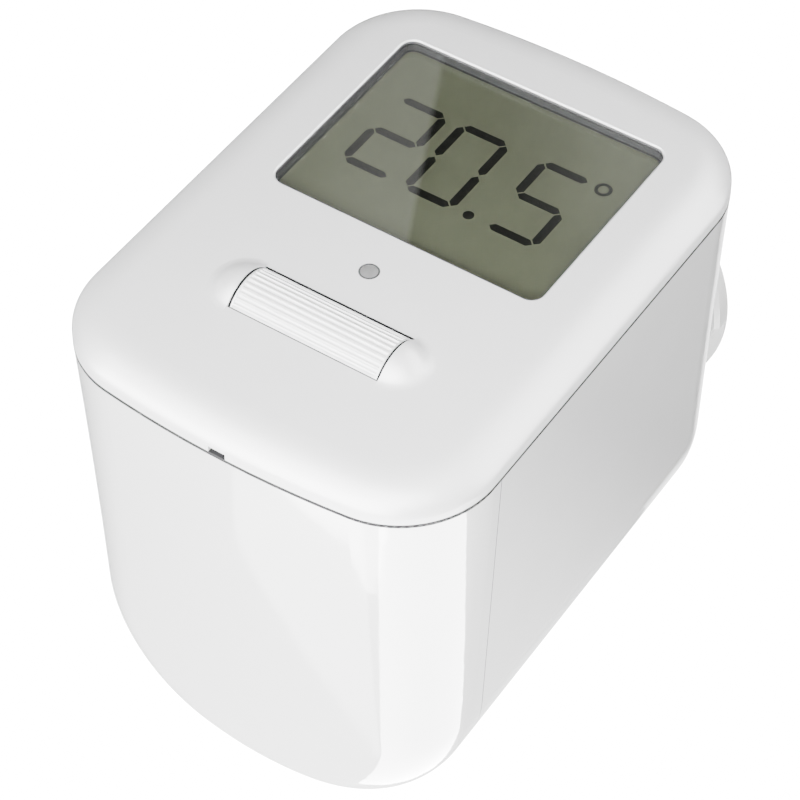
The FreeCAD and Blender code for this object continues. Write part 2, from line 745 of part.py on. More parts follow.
# ---- setting wheel -------------------------------------------------------------------------------------------

def make_wheel():
    """The ribbed wheel, its axle and the encoder magnet in its end."""
    body = new_body("ribbed_wheel")
    outline = sketch_on(body, "YZ_Plane", -d.wheel_half)
    circle(outline, 0, 0, d.wheel)
    pad(body, outline, d.wheel_half * 2)
    groove = sketch_on(body, "YZ_Plane", -d.wheel_half)
    circle(groove, d.wheel + 0.06, 0, d.groove)
    cutter = pocket(body, groove, d.wheel_half * 2, True)
    ribs = body.newObject("PartDesign::PolarPattern", "ribs")
    ribs.Originals = [cutter]
    ribs.Axis = (outline, ["N_Axis"])
    ribs.Angle = 360
    ribs.Occurrences = int(float(d.wheel_ribs))
    body.Tip = ribs
    doc.recompute()
    bore = sketch_on(body, "YZ_Plane", -d.wheel_half)
    circle(bore, 0, 0, d.axle)
    pocket(body, bore, d.wheel_half * 2, True)
    recess = sketch_on(body, "YZ_Plane", d.wheel_half)
    circle(recess, 0, 0, 3.0)
    pocket(body, recess, 1.8)
    put(body, 0, d.wheel_y, d.wheel_z)
    keep(body, "setting_wheel")

    axle_end = d.slot_half + 1.7
    keep(turned("axle_pin", "x", [
        (-axle_end, 0), (axle_end, 0), (axle_end, d.axle), (-axle_end, d.axle),
    ]), "wheel_axle")
    put(nodes[-1], 0, d.wheel_y, d.wheel_z)
    face = d.wheel_half
    keep(turned("magnet_ring", "x", [
        (face - 1.75, d.axle), (face - 0.1, d.axle), (face - 0.1, 2.95), (face - 1.75, 2.95),
    ]), "encoder_magnet")
    put(nodes[-1], 0, d.wheel_y, d.wheel_z)


def make_carrier():
    """The tray that carries the wheel: a plate that slides on two posts, with an ear at each end of the axle."""
    low = d.carrier_low
    high = low + d.carrier_thick
    plate = block("carrier_plate", (-18, 18), (d.wheel_y - 3.4, d.wheel_y + 3.4), (low, high))
    parts = [plate]
    tools = []
    for side in (1, -1):
        inner = (d.slot_half + 0.15) * side
        outer = (d.slot_half + 1.6) * side
        x = (inner, outer) if side > 0 else (outer, inner)
        parts.append(block(f"ear_foot_{side + 1}", x, (d.wheel_y - d.ear, d.wheel_y + d.ear), (low, d.wheel_z)))
        parts.append(rod(f"ear_round_{side + 1}", "x", (d.wheel_y, d.wheel_z), x[0], x[1], d.ear))
        tools.append(rod(f"post_slot_{side + 1}", "z", (d.post_x * side, d.wheel_y), low - 1, high + 1,
                         d.post + d.running))
    tools.append(rod("axle_hole", "x", (d.wheel_y, d.wheel_z), -14, 14, d.axle + d.running))
    keep(cut("carrier", fuse("carrier_solid", parts), tools), "wheel_carrier")

    board_top = d.board_low + d.board_thick
    for side, name in ((-1, "carrier_spring_left"), (1, "carrier_spring_right")):
        wire = 0.2
        coil = coil_spring(1.65, 1.65, float(low - board_top) - 2 * wire, 4, wire)
        put(keep(shaped(name, coil), name), d.post_x * side, d.wheel_y, board_top + wire)

    switch_top = board_top + 2.0
    shell = block("switch_case", (-3, 3), (d.wheel_y - 3, d.wheel_y + 3), (board_top, switch_top))
    well = rod("switch_well", "z", (0, d.wheel_y), board_top + 0.6, switch_top + 1, 1.55)
    keep(cut("switch", shell, [well]), "switch_body")
    keep(rod("plunger", "z", (0, d.wheel_y), board_top + 1.3, low, 1.5), "switch_plunger")


def coil_spring(foot, head, height, turns, wire):
    """A wire on a helix that may taper from its foot to its head. The wire has twelve narrow flats."""
    angle = math.degrees(math.atan((head - foot) / height))
    helix = Part.makeHelix(height / turns, height, foot, angle)
    flats = [math.radians(30 * step) for step in range(12)]
    corners = [Vector(foot + wire * math.cos(turn), 0, wire * math.sin(turn)) for turn in flats]
    section = Part.makePolygon(corners + corners[:1])
    return Part.Wire(helix.Edges).makePipeShell([section], True, True)


# ---- battery compartment -------------------------------------------------------------------------------------

def make_cell(name, side, nub_end, direction):
    """One AA cell: direction 1 puts its nub at the rear, -1 at the front."""
    body_end = nub_end - d.nub_long * direction
    far = nub_end - d.cell_long * direction
    keep(turned(name + "_turned", "y", [
        (0, far), (d.cell - 0.6, far), (d.cell, far + 0.6 * direction), (d.cell, body_end - 0.6 * direction),
        (d.cell - 0.6, body_end), (d.nub, body_end), (d.nub, nub_end), (0, nub_end),
    ], d.cell_x * side, d.cell_z), name)


def make_batteries():
    plate_front = d.contact_y - d.sheet_metal
    make_cell("battery_left", -1, plate_front, 1)
    front_plate_rear = plate_front - d.spring_long - d.cell_long
    make_cell("battery_right", 1, front_plate_rear, -1)

    tray_rear = plate_front - 0.1
    tubes = [rod(f"tube_{side + 1}", "y", (d.cell_x * side, d.cell_z), d.tray_front, tray_rear, d.cell + 1.15)
             for side in (1, -1)]
    bores = [rod(f"tube_bore_{side + 1}", "y", (d.cell_x * side, d.cell_z), d.tray_front - 1, d.contact_y + 1,
                 d.cell + 0.3) for side in (1, -1)]
    keep(cut("tray", fuse("tray_solid", tubes), bores), "battery_tray")

    for side, name in ((-1, "positive_contact"), (1, "negative_contact")):
        keep(contact_strip(name, side), name)
    wire = 0.25
    coil = coil_spring(4.6, 2.4, float(d.spring_long) - 2 * wire, 3, wire)
    rear_coil = keep(shaped("rear_coil", coil), "contact_spring")
    rear_coil.Placement.Rotation = FreeCAD.Rotation(ALONG_X, 90)
    put(rear_coil, d.cell_x, plate_front - wire, d.cell_z)

    front_y = (front_plate_rear - d.sheet_metal, front_plate_rear)
    bar = block("bridge_bar", (-11, 11), front_y, (d.cell_z - 3.0, d.cell_z + 3.5))
    dimple = rod("bridge_slot", "y", (0, d.cell_z), front_y[0] - 1, front_y[1] + 1, 2.2)
    keep(cut("bridge", bar, [dimple]), "bridge_contact")
    front_coil = keep(shaped("front_coil", coil), "bridge_spring")
    front_coil.Placement.Rotation = FreeCAD.Rotation(ALONG_X, -90)
    put(front_coil, -d.cell_x, front_plate_rear + wire, d.cell_z)


def contact_strip(name, side):
    """A rear battery contact: a pad behind the cell, an arm to the side wall and a blade up to the board."""
    y = (d.contact_y - d.sheet_metal, d.contact_y)

    def piece(tag, x_low, x_high, z_low, z_high):
        x = (x_low, x_high) if side > 0 else (-x_high, -x_low)
        return block(f"{name}_{tag}", x, y, (z_low, z_high))

    pad_low = d.cell_z - 5
    arm_high = -10.6
    return fuse(name + "_strip", [
        piece("pad", d.cell_x - 5, d.cell_x + 5, pad_low, d.cell_z + 5),
        piece("riser", d.cell_x - 2, d.cell_x + 2, d.cell_z + 4, arm_high),
        piece("arm", d.cell_x - 2, 23.8, arm_high - 2.8, arm_high),
        piece("blade", 21.5, 23.8, arm_high - 2.8, d.board_low - 0.1),
    ])


# ---- gears ---------------------------------------------------------------------------------------------------

PRESSURE = math.radians(25)
ADDENDUM = 0.85
DEDENDUM = 1.1
PLAY = 0.09


def gear_outline(teeth, phase):
    """A gear's outline in the XZ plane about the origin, with a tooth centred on the phase angle."""
    module = float(d.gear_module)
    pitch = module * teeth / 2
    base = pitch * math.cos(PRESSURE)
    tip = pitch + ADDENDUM * module
    root = pitch - DEDENDUM * module

    def spread(radius):
        """Half the angle of a tooth at a radius."""
        if radius < base:
            radius = base
        at_radius = math.acos(base / radius)
        rolled = math.tan(at_radius) - at_radius
        rolled_at_pitch = math.tan(PRESSURE) - PRESSURE
        half_at_pitch = math.pi / (2 * teeth) - PLAY / (2 * pitch)
        return half_at_pitch + rolled_at_pitch - rolled

    def point(radius, angle):
        return Vector(radius * math.cos(angle), 0, radius * math.sin(angle))

    start = max(base, root)
    radii = [start + (tip - start) * step / 3 for step in range(4)]
    edges = []
    step_angle = 2 * math.pi / teeth
    for tooth in range(teeth):
        centre = phase + tooth * step_angle
        rising = [point(radius, centre - spread(radius)) for radius in radii]
        falling = [point(radius, centre + spread(radius)) for radius in reversed(radii)]
        foot = point(root, centre - spread(start))
        other_foot = point(root, centre + spread(start))
        next_foot = point(root, centre + step_angle - spread(start))
        if start > root + 1e-6:
            edges.append(Part.makeLine(foot, rising[0]))
        for flank in (rising, falling):
            curve = Part.BSplineCurve()
            curve.interpolate(flank)
            edges.append(curve.toShape())
            if flank is rising:
                edges.append(Part.Arc(rising[-1], point(tip, centre), falling[0]).toShape())
        if start > root + 1e-6:
            edges.append(Part.makeLine(falling[-1], other_foot))
        edges.append(Part.Arc(other_foot, point(root, centre + step_angle / 2), next_foot).toShape())
    return Part.Wire(edges)


def gear_solid(teeth, phase, low, high):
    face = Part.Face(gear_outline(int(float(teeth)), phase))
    solid = face.extrude(Vector(0, high - low, 0))
    solid.translate(Vector(0, low, 0))
    return solid


def pitch_angle(start, end):
    return math.atan2(end[1] - start[1], end[0] - start[0])


def gap_toward(teeth, angle):
    """Phase that leaves a tooth gap on the given direction."""
    return angle + math.pi / float(teeth)


OUTPUT_AT = (0.0, 0.0)
FIRST_AT = (float(d.first_x), float(d.first_z))
SECOND_AT = (float(d.second_x), float(d.second_z))
MOTOR_AT = (float(d.motor_x), float(d.motor_z))
INSIDE_REAR = float(d.gearbox_rear - d.gearbox_plate)
INSIDE_FRONT = float(d.gearbox_front + d.gearbox_plate)
OUTPUT_PLANE = (INSIDE_REAR - 4.0, INSIDE_REAR - 0.5)
SECOND_PLANE = (OUTPUT_PLANE[0] - 3.1, OUTPUT_PLANE[0] - 0.6)
FIRST_PLANE = (SECOND_PLANE[0] - 2.9, SECOND_PLANE[0] - 0.5)


def turned_ring(radius, hole, low, high):
    ring = Part.makeCylinder(radius, high - low, Vector(0, low, 0), ALONG_Y)
    if not hole:
        return ring
    return ring.cut(Part.makeCylinder(hole, high - low + 2, Vector(0, low - 1, 0), ALONG_Y))


def place_gear(name, shape, x=0, z=0):
    put(keep(shaped(name + "_solid", shape), name), x, 0, z)


def make_gears():
    """Motor pinion, two compound gears and the output gear, each in mesh with the next."""
    bore = float(d.gear_pin + d.running)
    to_second = pitch_angle(OUTPUT_AT, SECOND_AT)
    second_to_first = pitch_angle(SECOND_AT, FIRST_AT)
    first_to_motor = pitch_angle(FIRST_AT, MOTOR_AT)

    insert = 4.2
    output = gear_solid(d.output_teeth, to_second, *OUTPUT_PLANE)
    output = output.fuse(turned_ring(4.9, 0, OUTPUT_PLANE[1] - 0.1, float(d.gearbox_rear) - 0.1))
    output = output.cut(Part.makeCylinder(insert - 0.8, 40, Vector(0, -40, 0), ALONG_Y))
    place_gear("output_gear", output)
    hub = turned_ring(insert - 0.8, float(d.spindle + d.running), OUTPUT_PLANE[0] - 3.0,
                      float(d.gearbox_rear) - 0.2)
    place_gear("spindle_nut", hub)

    small = gear_solid(d.small_teeth, gap_toward(d.small_teeth, to_second + math.pi), OUTPUT_PLANE[0] - 0.7,
                       OUTPUT_PLANE[1])
    large = gear_solid(d.second_teeth, second_to_first, *SECOND_PLANE)
    second = small.fuse(large).fuse(turned_ring(1.9, 0, INSIDE_FRONT + 0.2, SECOND_PLANE[1]))
    second = second.cut(Part.makeCylinder(bore, 40, Vector(0, -45, 0), ALONG_Y))
    place_gear("second_gear", second, d.second_x, d.second_z)

    small = gear_solid(d.small_teeth, gap_toward(d.small_teeth, second_to_first + math.pi), FIRST_PLANE[1] - 0.1,
                       SECOND_PLANE[1])
    large = gear_solid(d.first_teeth, first_to_motor, *FIRST_PLANE)
    first = small.fuse(large).fuse(turned_ring(1.9, 0, INSIDE_FRONT + 0.2, SECOND_PLANE[1]))
    first = first.cut(Part.makeCylinder(bore, 40, Vector(0, -45, 0), ALONG_Y))
    place_gear("first_gear", first, d.first_x, d.first_z)

    pinion = gear_solid(d.pinion_teeth, gap_toward(d.pinion_teeth, first_to_motor + math.pi), *FIRST_PLANE)
    pinion = pinion.cut(Part.makeCylinder(1.0, 40, Vector(0, -45, 0), ALONG_Y))
    place_gear("motor_pinion", pinion, d.motor_x, d.motor_z)


def gearbox_discs(name, grow, start, end):
    """Overlapping discs round every gear, grown by a margin."""
    tip = d.gear_module * ADDENDUM
    discs = (
        (OUTPUT_AT, d.gear_module * d.output_teeth / 2 + tip),
        (SECOND_AT, d.gear_module * d.second_teeth / 2 + tip),
        (FIRST_AT, d.gear_module * d.first_teeth / 2 + tip),
        (MOTOR_AT, d.gear_module * d.pinion_teeth / 2 + tip + 1),
    )
    return fuse(name, [rod(f"{name}_{index}", "y", at, start, end, radius + grow)
                       for index, (at, radius) in enumerate(discs)])


LID_SCREWS = ((-14.5, -5.5), (13.5, -7.5), (13.8, 19.6))


def make_gearbox():
    """A cup that holds the gears, screwed to the housing by three ears, and a lid that carries the motor."""
    lid_rear = d.gearbox_front + d.gearbox_plate
    grown = d.gear_room + d.gearbox_wall
    outside = gearbox_discs("case_outside", grown, lid_rear, d.gearbox_rear)
    inside = gearbox_discs("case_inside", d.gear_room, lid_rear - 1, d.gearbox_rear - d.gearbox_plate)
    bosses = [rod(f"lid_boss_{index}", "y", at, lid_rear, d.gearbox_rear, 2.2)
              for index, at in enumerate(LID_SCREWS)]
    parts = [cut("case_cup", fuse("case_full", [outside] + bosses), [inside])]
    gear_rooms = gearbox_discs("gear_rooms", d.gear_room, lid_rear - 1, d.gearbox_rear - d.gearbox_plate)
    holes = [gear_rooms, rod("output_bearing", "y", OUTPUT_AT, -22, -10, 4.9 + float(d.running))]
    for index, (x, z) in enumerate(EARS):
        parts.append(ear_arm(index, x, z))
        holes.append(rod(f"ear_hole_{index}", "y", (x, z), EAR_FRONT - 1, EAR_FRONT + EAR_THICK + 1, 1.3))
    for index, at in enumerate(LID_SCREWS):
        holes.append(rod(f"lid_thread_{index}", "y", at, lid_rear - 1, lid_rear + 6, 0.8))
    holes.append(rod("base_pin_hole", "y", SECOND_AT, -22, d.gearbox_rear - 0.6, d.gear_pin))
    keep(cut("gear_case", fuse("gear_case_solid", parts), holes), "gearbox_base")

    plate = fuse("lid_full", [gearbox_discs("lid_discs", grown, d.gearbox_front, lid_rear)] + [
        rod(f"lid_ear_{index}", "y", at, d.gearbox_front, lid_rear, 2.2) for index, at in enumerate(LID_SCREWS)])
    half_wide, half_high = d.motor_wide / 2, d.motor_high / 2
    cradle_y = (d.gearbox_front - 8, lid_rear)
    cradle_low = block("cradle_low", (d.motor_x + 2.8, d.motor_x + half_wide), cradle_y,
                       (d.motor_z - half_high - 1.1, d.motor_z - half_high))
    cradle_high = block("cradle_high", (d.motor_x - half_wide, d.motor_x + half_wide), cradle_y,
                        (d.motor_z + half_high, d.motor_z + half_high + 1.1))
    holes = [rod("shaft_hole", "y", MOTOR_AT, -34, -27, 3.05), rod("spindle_hole", "y", OUTPUT_AT, -34, -27, 3.4)]
    for index, at in enumerate(LID_SCREWS):
        holes.append(rod(f"lid_hole_{index}", "y", at, -34, -27, 1.1))
    for index, at in enumerate((FIRST_AT, SECOND_AT)):
        holes.append(rod(f"lid_pin_hole_{index}", "y", at, d.gearbox_front + 0.6, -27, d.gear_pin))
    keep(cut("gear_lid", fuse("gear_lid_solid", [plate, cradle_low, cradle_high]), holes), "gearbox_lid")

    axle_start = d.gearbox_front + 0.7
    keep(rod("first_pin", "y", FIRST_AT, axle_start, SECOND_PLANE[1] + 0.3, d.gear_pin), "first_gear_axle")
    keep(rod("second_pin", "y", SECOND_AT, axle_start, d.gearbox_rear - 0.7, d.gear_pin), "second_gear_axle")
    keep(at_points("lid_screw_set", LID_SCREWS,
                   lambda name, x, z: make_screw(name, "y", (x, z), d.gearbox_front, 7.0, 0.8, 1.8, 1.2)),
         "gearbox_screws")
    keep(at_points("ear_screw_set", EARS,
                   lambda name, x, z: make_screw(name, "y", (x, z), as_size(EAR_FRONT), 7.0, 0.95, 2.1, 1.4)),
         "mounting_screws")


def ear_arm(index, x, z):
    """A flat arm from the gear case out to one mounting screw."""
    reach = math.hypot(x, z)
    arm = doc.addObject("Part::Box", f"arm_{index}")
    arm.Length = reach
    arm.Width = EAR_THICK
    arm.Height = 4.6
    turn = FreeCAD.Rotation(ALONG_Y, -math.degrees(math.atan2(z, x)))
    corner = turn.multVec(Vector(0, 0, -2.3))
    arm.Placement = FreeCAD.Placement(Vector(corner.x, EAR_FRONT, corner.z), turn)
    end = rod(f"arm_end_{index}", "y", (x, z), EAR_FRONT, EAR_FRONT + EAR_THICK, 2.3)
    return fuse(f"ear_{index}", [arm, end])


# ---- motor ---------------------------------------------------------------------------------------------------

def make_motor():
    """A flat-sided small motor: drawn can, plastic end cap with two tags, shaft."""
    rear = d.gearbox_front
    front = rear - d.motor_long
    half_wide, half_high = d.motor_wide / 2, d.motor_high / 2
    cap_long = 3.2
    can = rod("can_round", "y", (d.motor_x, d.motor_z), front + cap_long, rear, half_high)
    flats = block("can_flats", (d.motor_x - half_wide, d.motor_x + half_wide), (front + cap_long, rear),
                  (d.motor_z - half_high, d.motor_z + half_high))
    nose = rod("can_nose", "y", (d.motor_x, d.motor_z), rear - 0.1, rear + 1.6, 3.0)
    bearing = rod("can_bearing", "y", (d.motor_x, d.motor_z), front, rear + 2, 1.05)
    body = fuse("can_body", [common("can_flat", [can, flats]), nose])
    keep(cut("can", body, [bearing]), "motor_case")
    disc = rod("end_round", "y", (d.motor_x, d.motor_z), front, front + cap_long, half_high)
    flats = block("end_flats", (d.motor_x - half_wide + 0.2, d.motor_x + half_wide - 0.2),
                  (front, front + cap_long), (d.motor_z - half_high + 0.2, d.motor_z + half_high - 0.2))
    tags = [block(f"tag_{index}", (d.motor_x - 1.1, d.motor_x + 1.1), (front - 3.0, front + 0.5),
                  (d.motor_z + place, d.motor_z + place + 0.4)) for index, place in enumerate((-7, 7))]
    hole = rod("end_bearing", "y", (d.motor_x, d.motor_z), front + 0.8, front + cap_long + 1, 1.05)
    keep(cut("end_cap", fuse("end_solid", [common("end_flat", [disc, flats])] + tags), [hole]), "motor_end_cap")
    keep(rod("shaft", "y", (d.motor_x, d.motor_z), front + 1.0, FIRST_PLANE[1] + 0.3, 1.0), "motor_shaft")


# ---- valve side ----------------------------------------------------------------------------------------------

def make_valve_side():
    """Collar, retaining ring, union nut with its grip collar, spindle and push pin."""
    flange_front = d.gearbox_rear + 0.1
    end = as_size(-7.0)
    groove = (as_size(-8.3), as_size(-7.5))
    bore = d.pin + d.running
    keep(turned("collar_turned", "y", [
        (bore, flange_front), (15.5, flange_front), (15.5, FLANGE_REAR), (d.collar, FLANGE_REAR),
        (d.collar, groove[0]), (d.collar - 0.8, groove[0]), (d.collar - 0.8, groove[1]), (d.collar, groove[1]),
        (d.collar, end), (d.collar_mouth, end), (d.collar_mouth, -8.6), (bore, -8.6),
    ]), "valve_collar")
    ring = rod("ring_disc", "y", (0, 0), -8.25, -7.55, 13.6)
    hole = rod("ring_hole", "y", (0, 0), -9, -7, d.collar - 0.75)
    split = block("ring_split", (-1.5, 1.5), (-9, -7), (-20, 0))
    keep(cut("ring", ring, [hole, split]), "retaining_ring")

    thread_start = -d.nut_thread_long
    flange = as_size(-8.6)
    keep(turned("nut_turned", "y", [
        (d.collar + 0.3, d.nut_front), (d.nut_outer - 0.5, d.nut_front), (d.nut_outer, d.nut_front + 0.5),
        (d.nut_outer, -0.6), (d.nut_outer - 0.6, 0), (d.nut_thread + 0.0, 0),
        (d.nut_thread, thread_start), (15.2, thread_start), (15.2, flange), (d.collar + 0.3, flange),
    ]), "union_nut")
    make_grip()

    rest = as_size(-10.4)
    keep(turned("pin_turned", "y", [
        (0, -12.4), (d.spindle, -12.4), (d.spindle, -15.8), (d.pin, -15.8), (d.pin, rest - 0.4),
        (d.pin - 0.4, rest), (0, rest),
    ]), "push_pin")
    keep(turned("spindle_turned", "y", [
        (0, -38), (d.spindle - 0.4, -38), (d.spindle, -37.6), (d.spindle, -12.4), (0, -12.4),
    ]), "spindle")


def make_grip():
    """The grip collar: a ring with shallow recesses between its pads."""
    low = d.grip_rear - d.grip_long
    body = turned("grip_turned", "y", [
        (d.nut_outer, low), (d.grip - 0.6, low), (d.grip, low + 0.6), (d.grip, d.grip_rear - 0.6),
        (d.grip - 0.6, d.grip_rear), (d.nut_outer, d.grip_rear),
    ])
    doc.recompute()
    recess = sketch_on(body, "XZ_Plane", -low + 1)
    half = math.pi / float(d.grip_pads) / 2
    start = -2 * half
    inner, outer = float(d.grip) - 0.7, float(d.grip) + 2
    corners = [(inner * math.cos(start), inner * math.sin(start)), (outer * math.cos(start), outer * math.sin(start)),
               (outer, 0.0), (inner, 0.0)]
    polygon(recess, corners)
    cutter = pocket(body, recess, as_size(1 + 2.4))
    pads = body.newObject("PartDesign::PolarPattern", "pads")
    pads.Originals = [cutter]
    pads.Axis = (recess, ["N_Axis"])
    pads.Angle = 360
    pads.Occurrences = int(float(d.grip_pads))
    body.Tip = pads
    keep(body, "nut_grip")


# ---- build, check and write ----------------------------------------------------------------------------------

def check_model():
    failed = [item.Name for item in doc.Objects if "Invalid" in item.State or "Error" in item.State]
    bad = [item.Label for item in nodes if item.Shape.isNull() or not item.Shape.isValid()]
    if failed or bad:
        raise RuntimeError(f"failed objects {failed}, bad shapes {bad}")


def write_parts():
    os.makedirs("parts", exist_ok=True)
    for item in nodes:
        item.Shape.exportStep(f"parts/{item.Label}.step")


make_casing()
make_top_cover()
make_display()
make_board()
make_electronics()
make_wheel()
make_carrier()
make_batteries()
make_gears()
make_gearbox()
make_motor()
make_valve_side()
doc.recompute()
check_model()
write_parts()
print(len(nodes), "pieces written")
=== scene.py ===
import math

import bmesh
import bpy
from mathutils import Euler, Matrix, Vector
from mathutils.geometry import convex_hull_2d


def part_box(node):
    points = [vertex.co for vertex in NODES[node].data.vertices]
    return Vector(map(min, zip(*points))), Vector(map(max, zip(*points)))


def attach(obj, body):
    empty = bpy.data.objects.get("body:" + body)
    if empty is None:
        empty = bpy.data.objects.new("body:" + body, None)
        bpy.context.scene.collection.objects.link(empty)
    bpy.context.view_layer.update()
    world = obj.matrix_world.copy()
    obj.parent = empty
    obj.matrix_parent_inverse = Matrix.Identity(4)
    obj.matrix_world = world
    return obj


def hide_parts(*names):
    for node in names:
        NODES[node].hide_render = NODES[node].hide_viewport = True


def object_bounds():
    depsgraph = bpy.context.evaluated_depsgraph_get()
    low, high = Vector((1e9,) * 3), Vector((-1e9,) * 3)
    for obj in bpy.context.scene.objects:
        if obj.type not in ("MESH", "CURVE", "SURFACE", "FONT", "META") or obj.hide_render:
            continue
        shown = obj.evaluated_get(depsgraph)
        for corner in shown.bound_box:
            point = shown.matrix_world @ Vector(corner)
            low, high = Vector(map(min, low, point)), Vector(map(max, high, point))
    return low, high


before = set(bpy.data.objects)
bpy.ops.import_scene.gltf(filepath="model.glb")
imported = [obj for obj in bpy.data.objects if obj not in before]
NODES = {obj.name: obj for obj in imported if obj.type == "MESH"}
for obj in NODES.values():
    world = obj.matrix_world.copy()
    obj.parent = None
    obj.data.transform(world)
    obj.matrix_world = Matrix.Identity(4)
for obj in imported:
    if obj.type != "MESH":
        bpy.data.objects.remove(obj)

CAD_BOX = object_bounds()
MM = 0.001


# ---------------------------------------------------------------- materials

class Paint:
    """One node material: a Principled shader and the textures that vary it."""

    def __init__(self, name, colour, roughness, **values):
        self.material = bpy.data.materials.new(name)
        self.material.use_nodes = True
        self.tree = self.material.node_tree
        self.shader = self.tree.nodes["Principled BSDF"]
        self.colour = (*colour, 1.0)
        self.shader.inputs["Base Color"].default_value = self.colour
        self.shader.inputs["Roughness"].default_value = roughness
        for socket, value in values.items():
            self.shader.inputs[socket.replace("_", " ")].default_value = value
        self.place = self.tree.nodes.new("ShaderNodeTexCoord").outputs["Object"]
        self.last_bump = None

    def node(self, kind, **settings):
        made = self.tree.nodes.new("ShaderNode" + kind)
        for key, value in settings.items():
            setattr(made, key, value)
        return made

    def join(self, source, target):
        self.tree.links.new(source, target)

    def stretched(self, scale):
        """The object's own coordinates, scaled differently along each axis."""
        mapping = self.node("Mapping")
        mapping.inputs["Scale"].default_value = scale
        self.join(self.place, mapping.inputs["Vector"])
        return mapping.outputs["Vector"]

    def noise(self, size, detail=2.0, where=None):
        """Cloudy noise whose blobs measure about size millimetres."""
        made = self.node("TexNoise")
        made.inputs["Scale"].default_value = 1.0 / (size * MM)
        made.inputs["Detail"].default_value = detail
        self.join(where or self.place, made.inputs["Vector"])
        return made.outputs["Fac"]

    def grains(self, size):
        """Rounded grains about size millimetres apart, as a spark-eroded mould leaves them."""
        made = self.node("TexVoronoi", feature="SMOOTH_F1")
        made.inputs["Scale"].default_value = 1.0 / (size * MM)
        self.join(self.place, made.inputs["Vector"])
        return made.outputs["Distance"]

    def bands(self, size, axis="X", profile="SIN"):
        """Straight bands, one every size millimetres along an axis."""
        made = self.node("TexWave", bands_direction=axis, wave_profile=profile)
        made.inputs["Scale"].default_value = 0.3142 / (size * MM)
        self.join(self.place, made.inputs["Vector"])
        return made.outputs["Fac"]

    def along(self, axis):
        """The position along one axis, in metres."""
        split = self.node("SeparateXYZ")
        self.join(self.place, split.inputs["Vector"])
        return split.outputs[axis]

    def towards(self, direction):
        """The distance from the origin along a level direction, in metres."""
        made = self.node("VectorMath", operation="DOT_PRODUCT")
        made.inputs[1].default_value = (*direction, 0.0)
        self.join(self.place, made.inputs[0])
        return made.outputs["Value"]

    def ranged(self, source, low, high, to_low=0.0, to_high=1.0, smooth=False):
        made = self.node("MapRange", interpolation_type="SMOOTHSTEP" if smooth else "LINEAR")
        values = {"From Min": low, "From Max": high, "To Min": to_low, "To Max": to_high}
        for socket, value in values.items():
            made.inputs[socket].default_value = value
        self.join(source, made.inputs["Value"])
        return made.outputs["Result"]

    def times(self, first, second):
        made = self.node("Math", operation="MULTIPLY")
        self.join(first, made.inputs[0])
        self.join(second, made.inputs[1])
        return made.outputs["Value"]

    def mixed(self, factor, first, second):
        """Two colours mixed by a texture; each is a colour or another texture's output."""
        made = self.node("Mix", data_type="RGBA")
        self.join(factor, made.inputs["Factor"])
        for socket, colour in ((made.inputs[6], first), (made.inputs[7], second)):
            if isinstance(colour, tuple):
                socket.default_value = (*colour, 1.0)
            else:
                self.join(colour, socket)
        return made.outputs[2]

    def tinted(self, factor, first, second):
        self.join(self.mixed(factor, first, second), self.shader.inputs["Base Color"])
        return self

    def rough(self, source, low, high, at=(0.3, 0.7)):
        self.join(self.ranged(source, at[0], at[1], low, high), self.shader.inputs["Roughness"])
        return self

    def bump(self, source, depth, strength=1.0):
        """Relief of the given depth in millimetres, on top of any relief added before."""
        made = self.node("Bump")
        made.inputs["Strength"].default_value = strength
        made.inputs["Distance"].default_value = depth * MM
        self.join(source, made.inputs["Height"])
        if self.last_bump:
            self.join(self.last_bump, made.inputs["Normal"])
        self.last_bump = made.outputs["Normal"]
        self.join(self.last_bump, self.shader.inputs["Normal"])
        return self


def moulded(name, colour, roughness, grain, depth, shade=0.985, **values):
    """Injection-moulded plastic: fine grain, faint cloudiness and uneven gloss."""
    low, high = roughness
    paint = Paint(name, colour, high, **values)
    darker = tuple(part * shade for part in colour)
    paint.tinted(paint.ranged(paint.noise(9.0, 3.0), 0.35, 0.65), darker, colour)
    paint.rough(paint.noise(2.5, 4.0), low, high)
    paint.bump(paint.noise(grain * 12, 2.0), depth * 1.5, 0.25)
    paint.bump(paint.grains(grain), depth)
    return paint


def metal(name, colour, roughness, line=0.12, depth=0.002, stretch=(1.0, 12.0, 1.0)):
    """Worked metal: fine lines left by the tool, with small changes of gloss and tone."""
    paint = Paint(name, colour, roughness, Metallic=1.0)
    where = paint.stretched(stretch)
    darker = tuple(part * 0.82 for part in colour)
    lines = paint.noise(line, 3.0, where)
    paint.tinted(paint.ranged(paint.noise(3.0, 4.0), 0.3, 0.7), darker, colour)
    paint.rough(lines, roughness * 0.7, roughness * 1.4)
    paint.bump(lines, depth)
    return paint


def pane_paint():
    """Clear acrylic sheet: a faint mirror at a glance, and more of one the flatter it is seen."""
    paint = Paint("window_acrylic", (0.95, 0.95, 0.95), 0.02, Metallic=1.0)
    paint.rough(paint.noise(4.0, 4.0), 0.01, 0.025)
    facing = paint.node("LayerWeight")
    facing.inputs["Blend"].default_value = 0.5
    steep = paint.node("Math", operation="POWER")
    steep.inputs[1].default_value = 5.0
    paint.join(facing.outputs["Facing"], steep.inputs[0])
    clear = paint.node("BsdfTransparent")
    clear.inputs["Color"].default_value = (0.95, 0.96, 0.94, 1.0)
    blend = paint.node("MixShader")
    paint.join(paint.ranged(steep.outputs["Value"], 0.0, 1.0, 0.07, 1.0), blend.inputs[0])
    paint.join(clear.outputs["BSDF"], blend.inputs[1])
    paint.join(paint.shader.outputs["BSDF"], blend.inputs[2])
    paint.join(blend.outputs["Shader"], paint.tree.nodes["Material Output"].inputs["Surface"])
    return paint


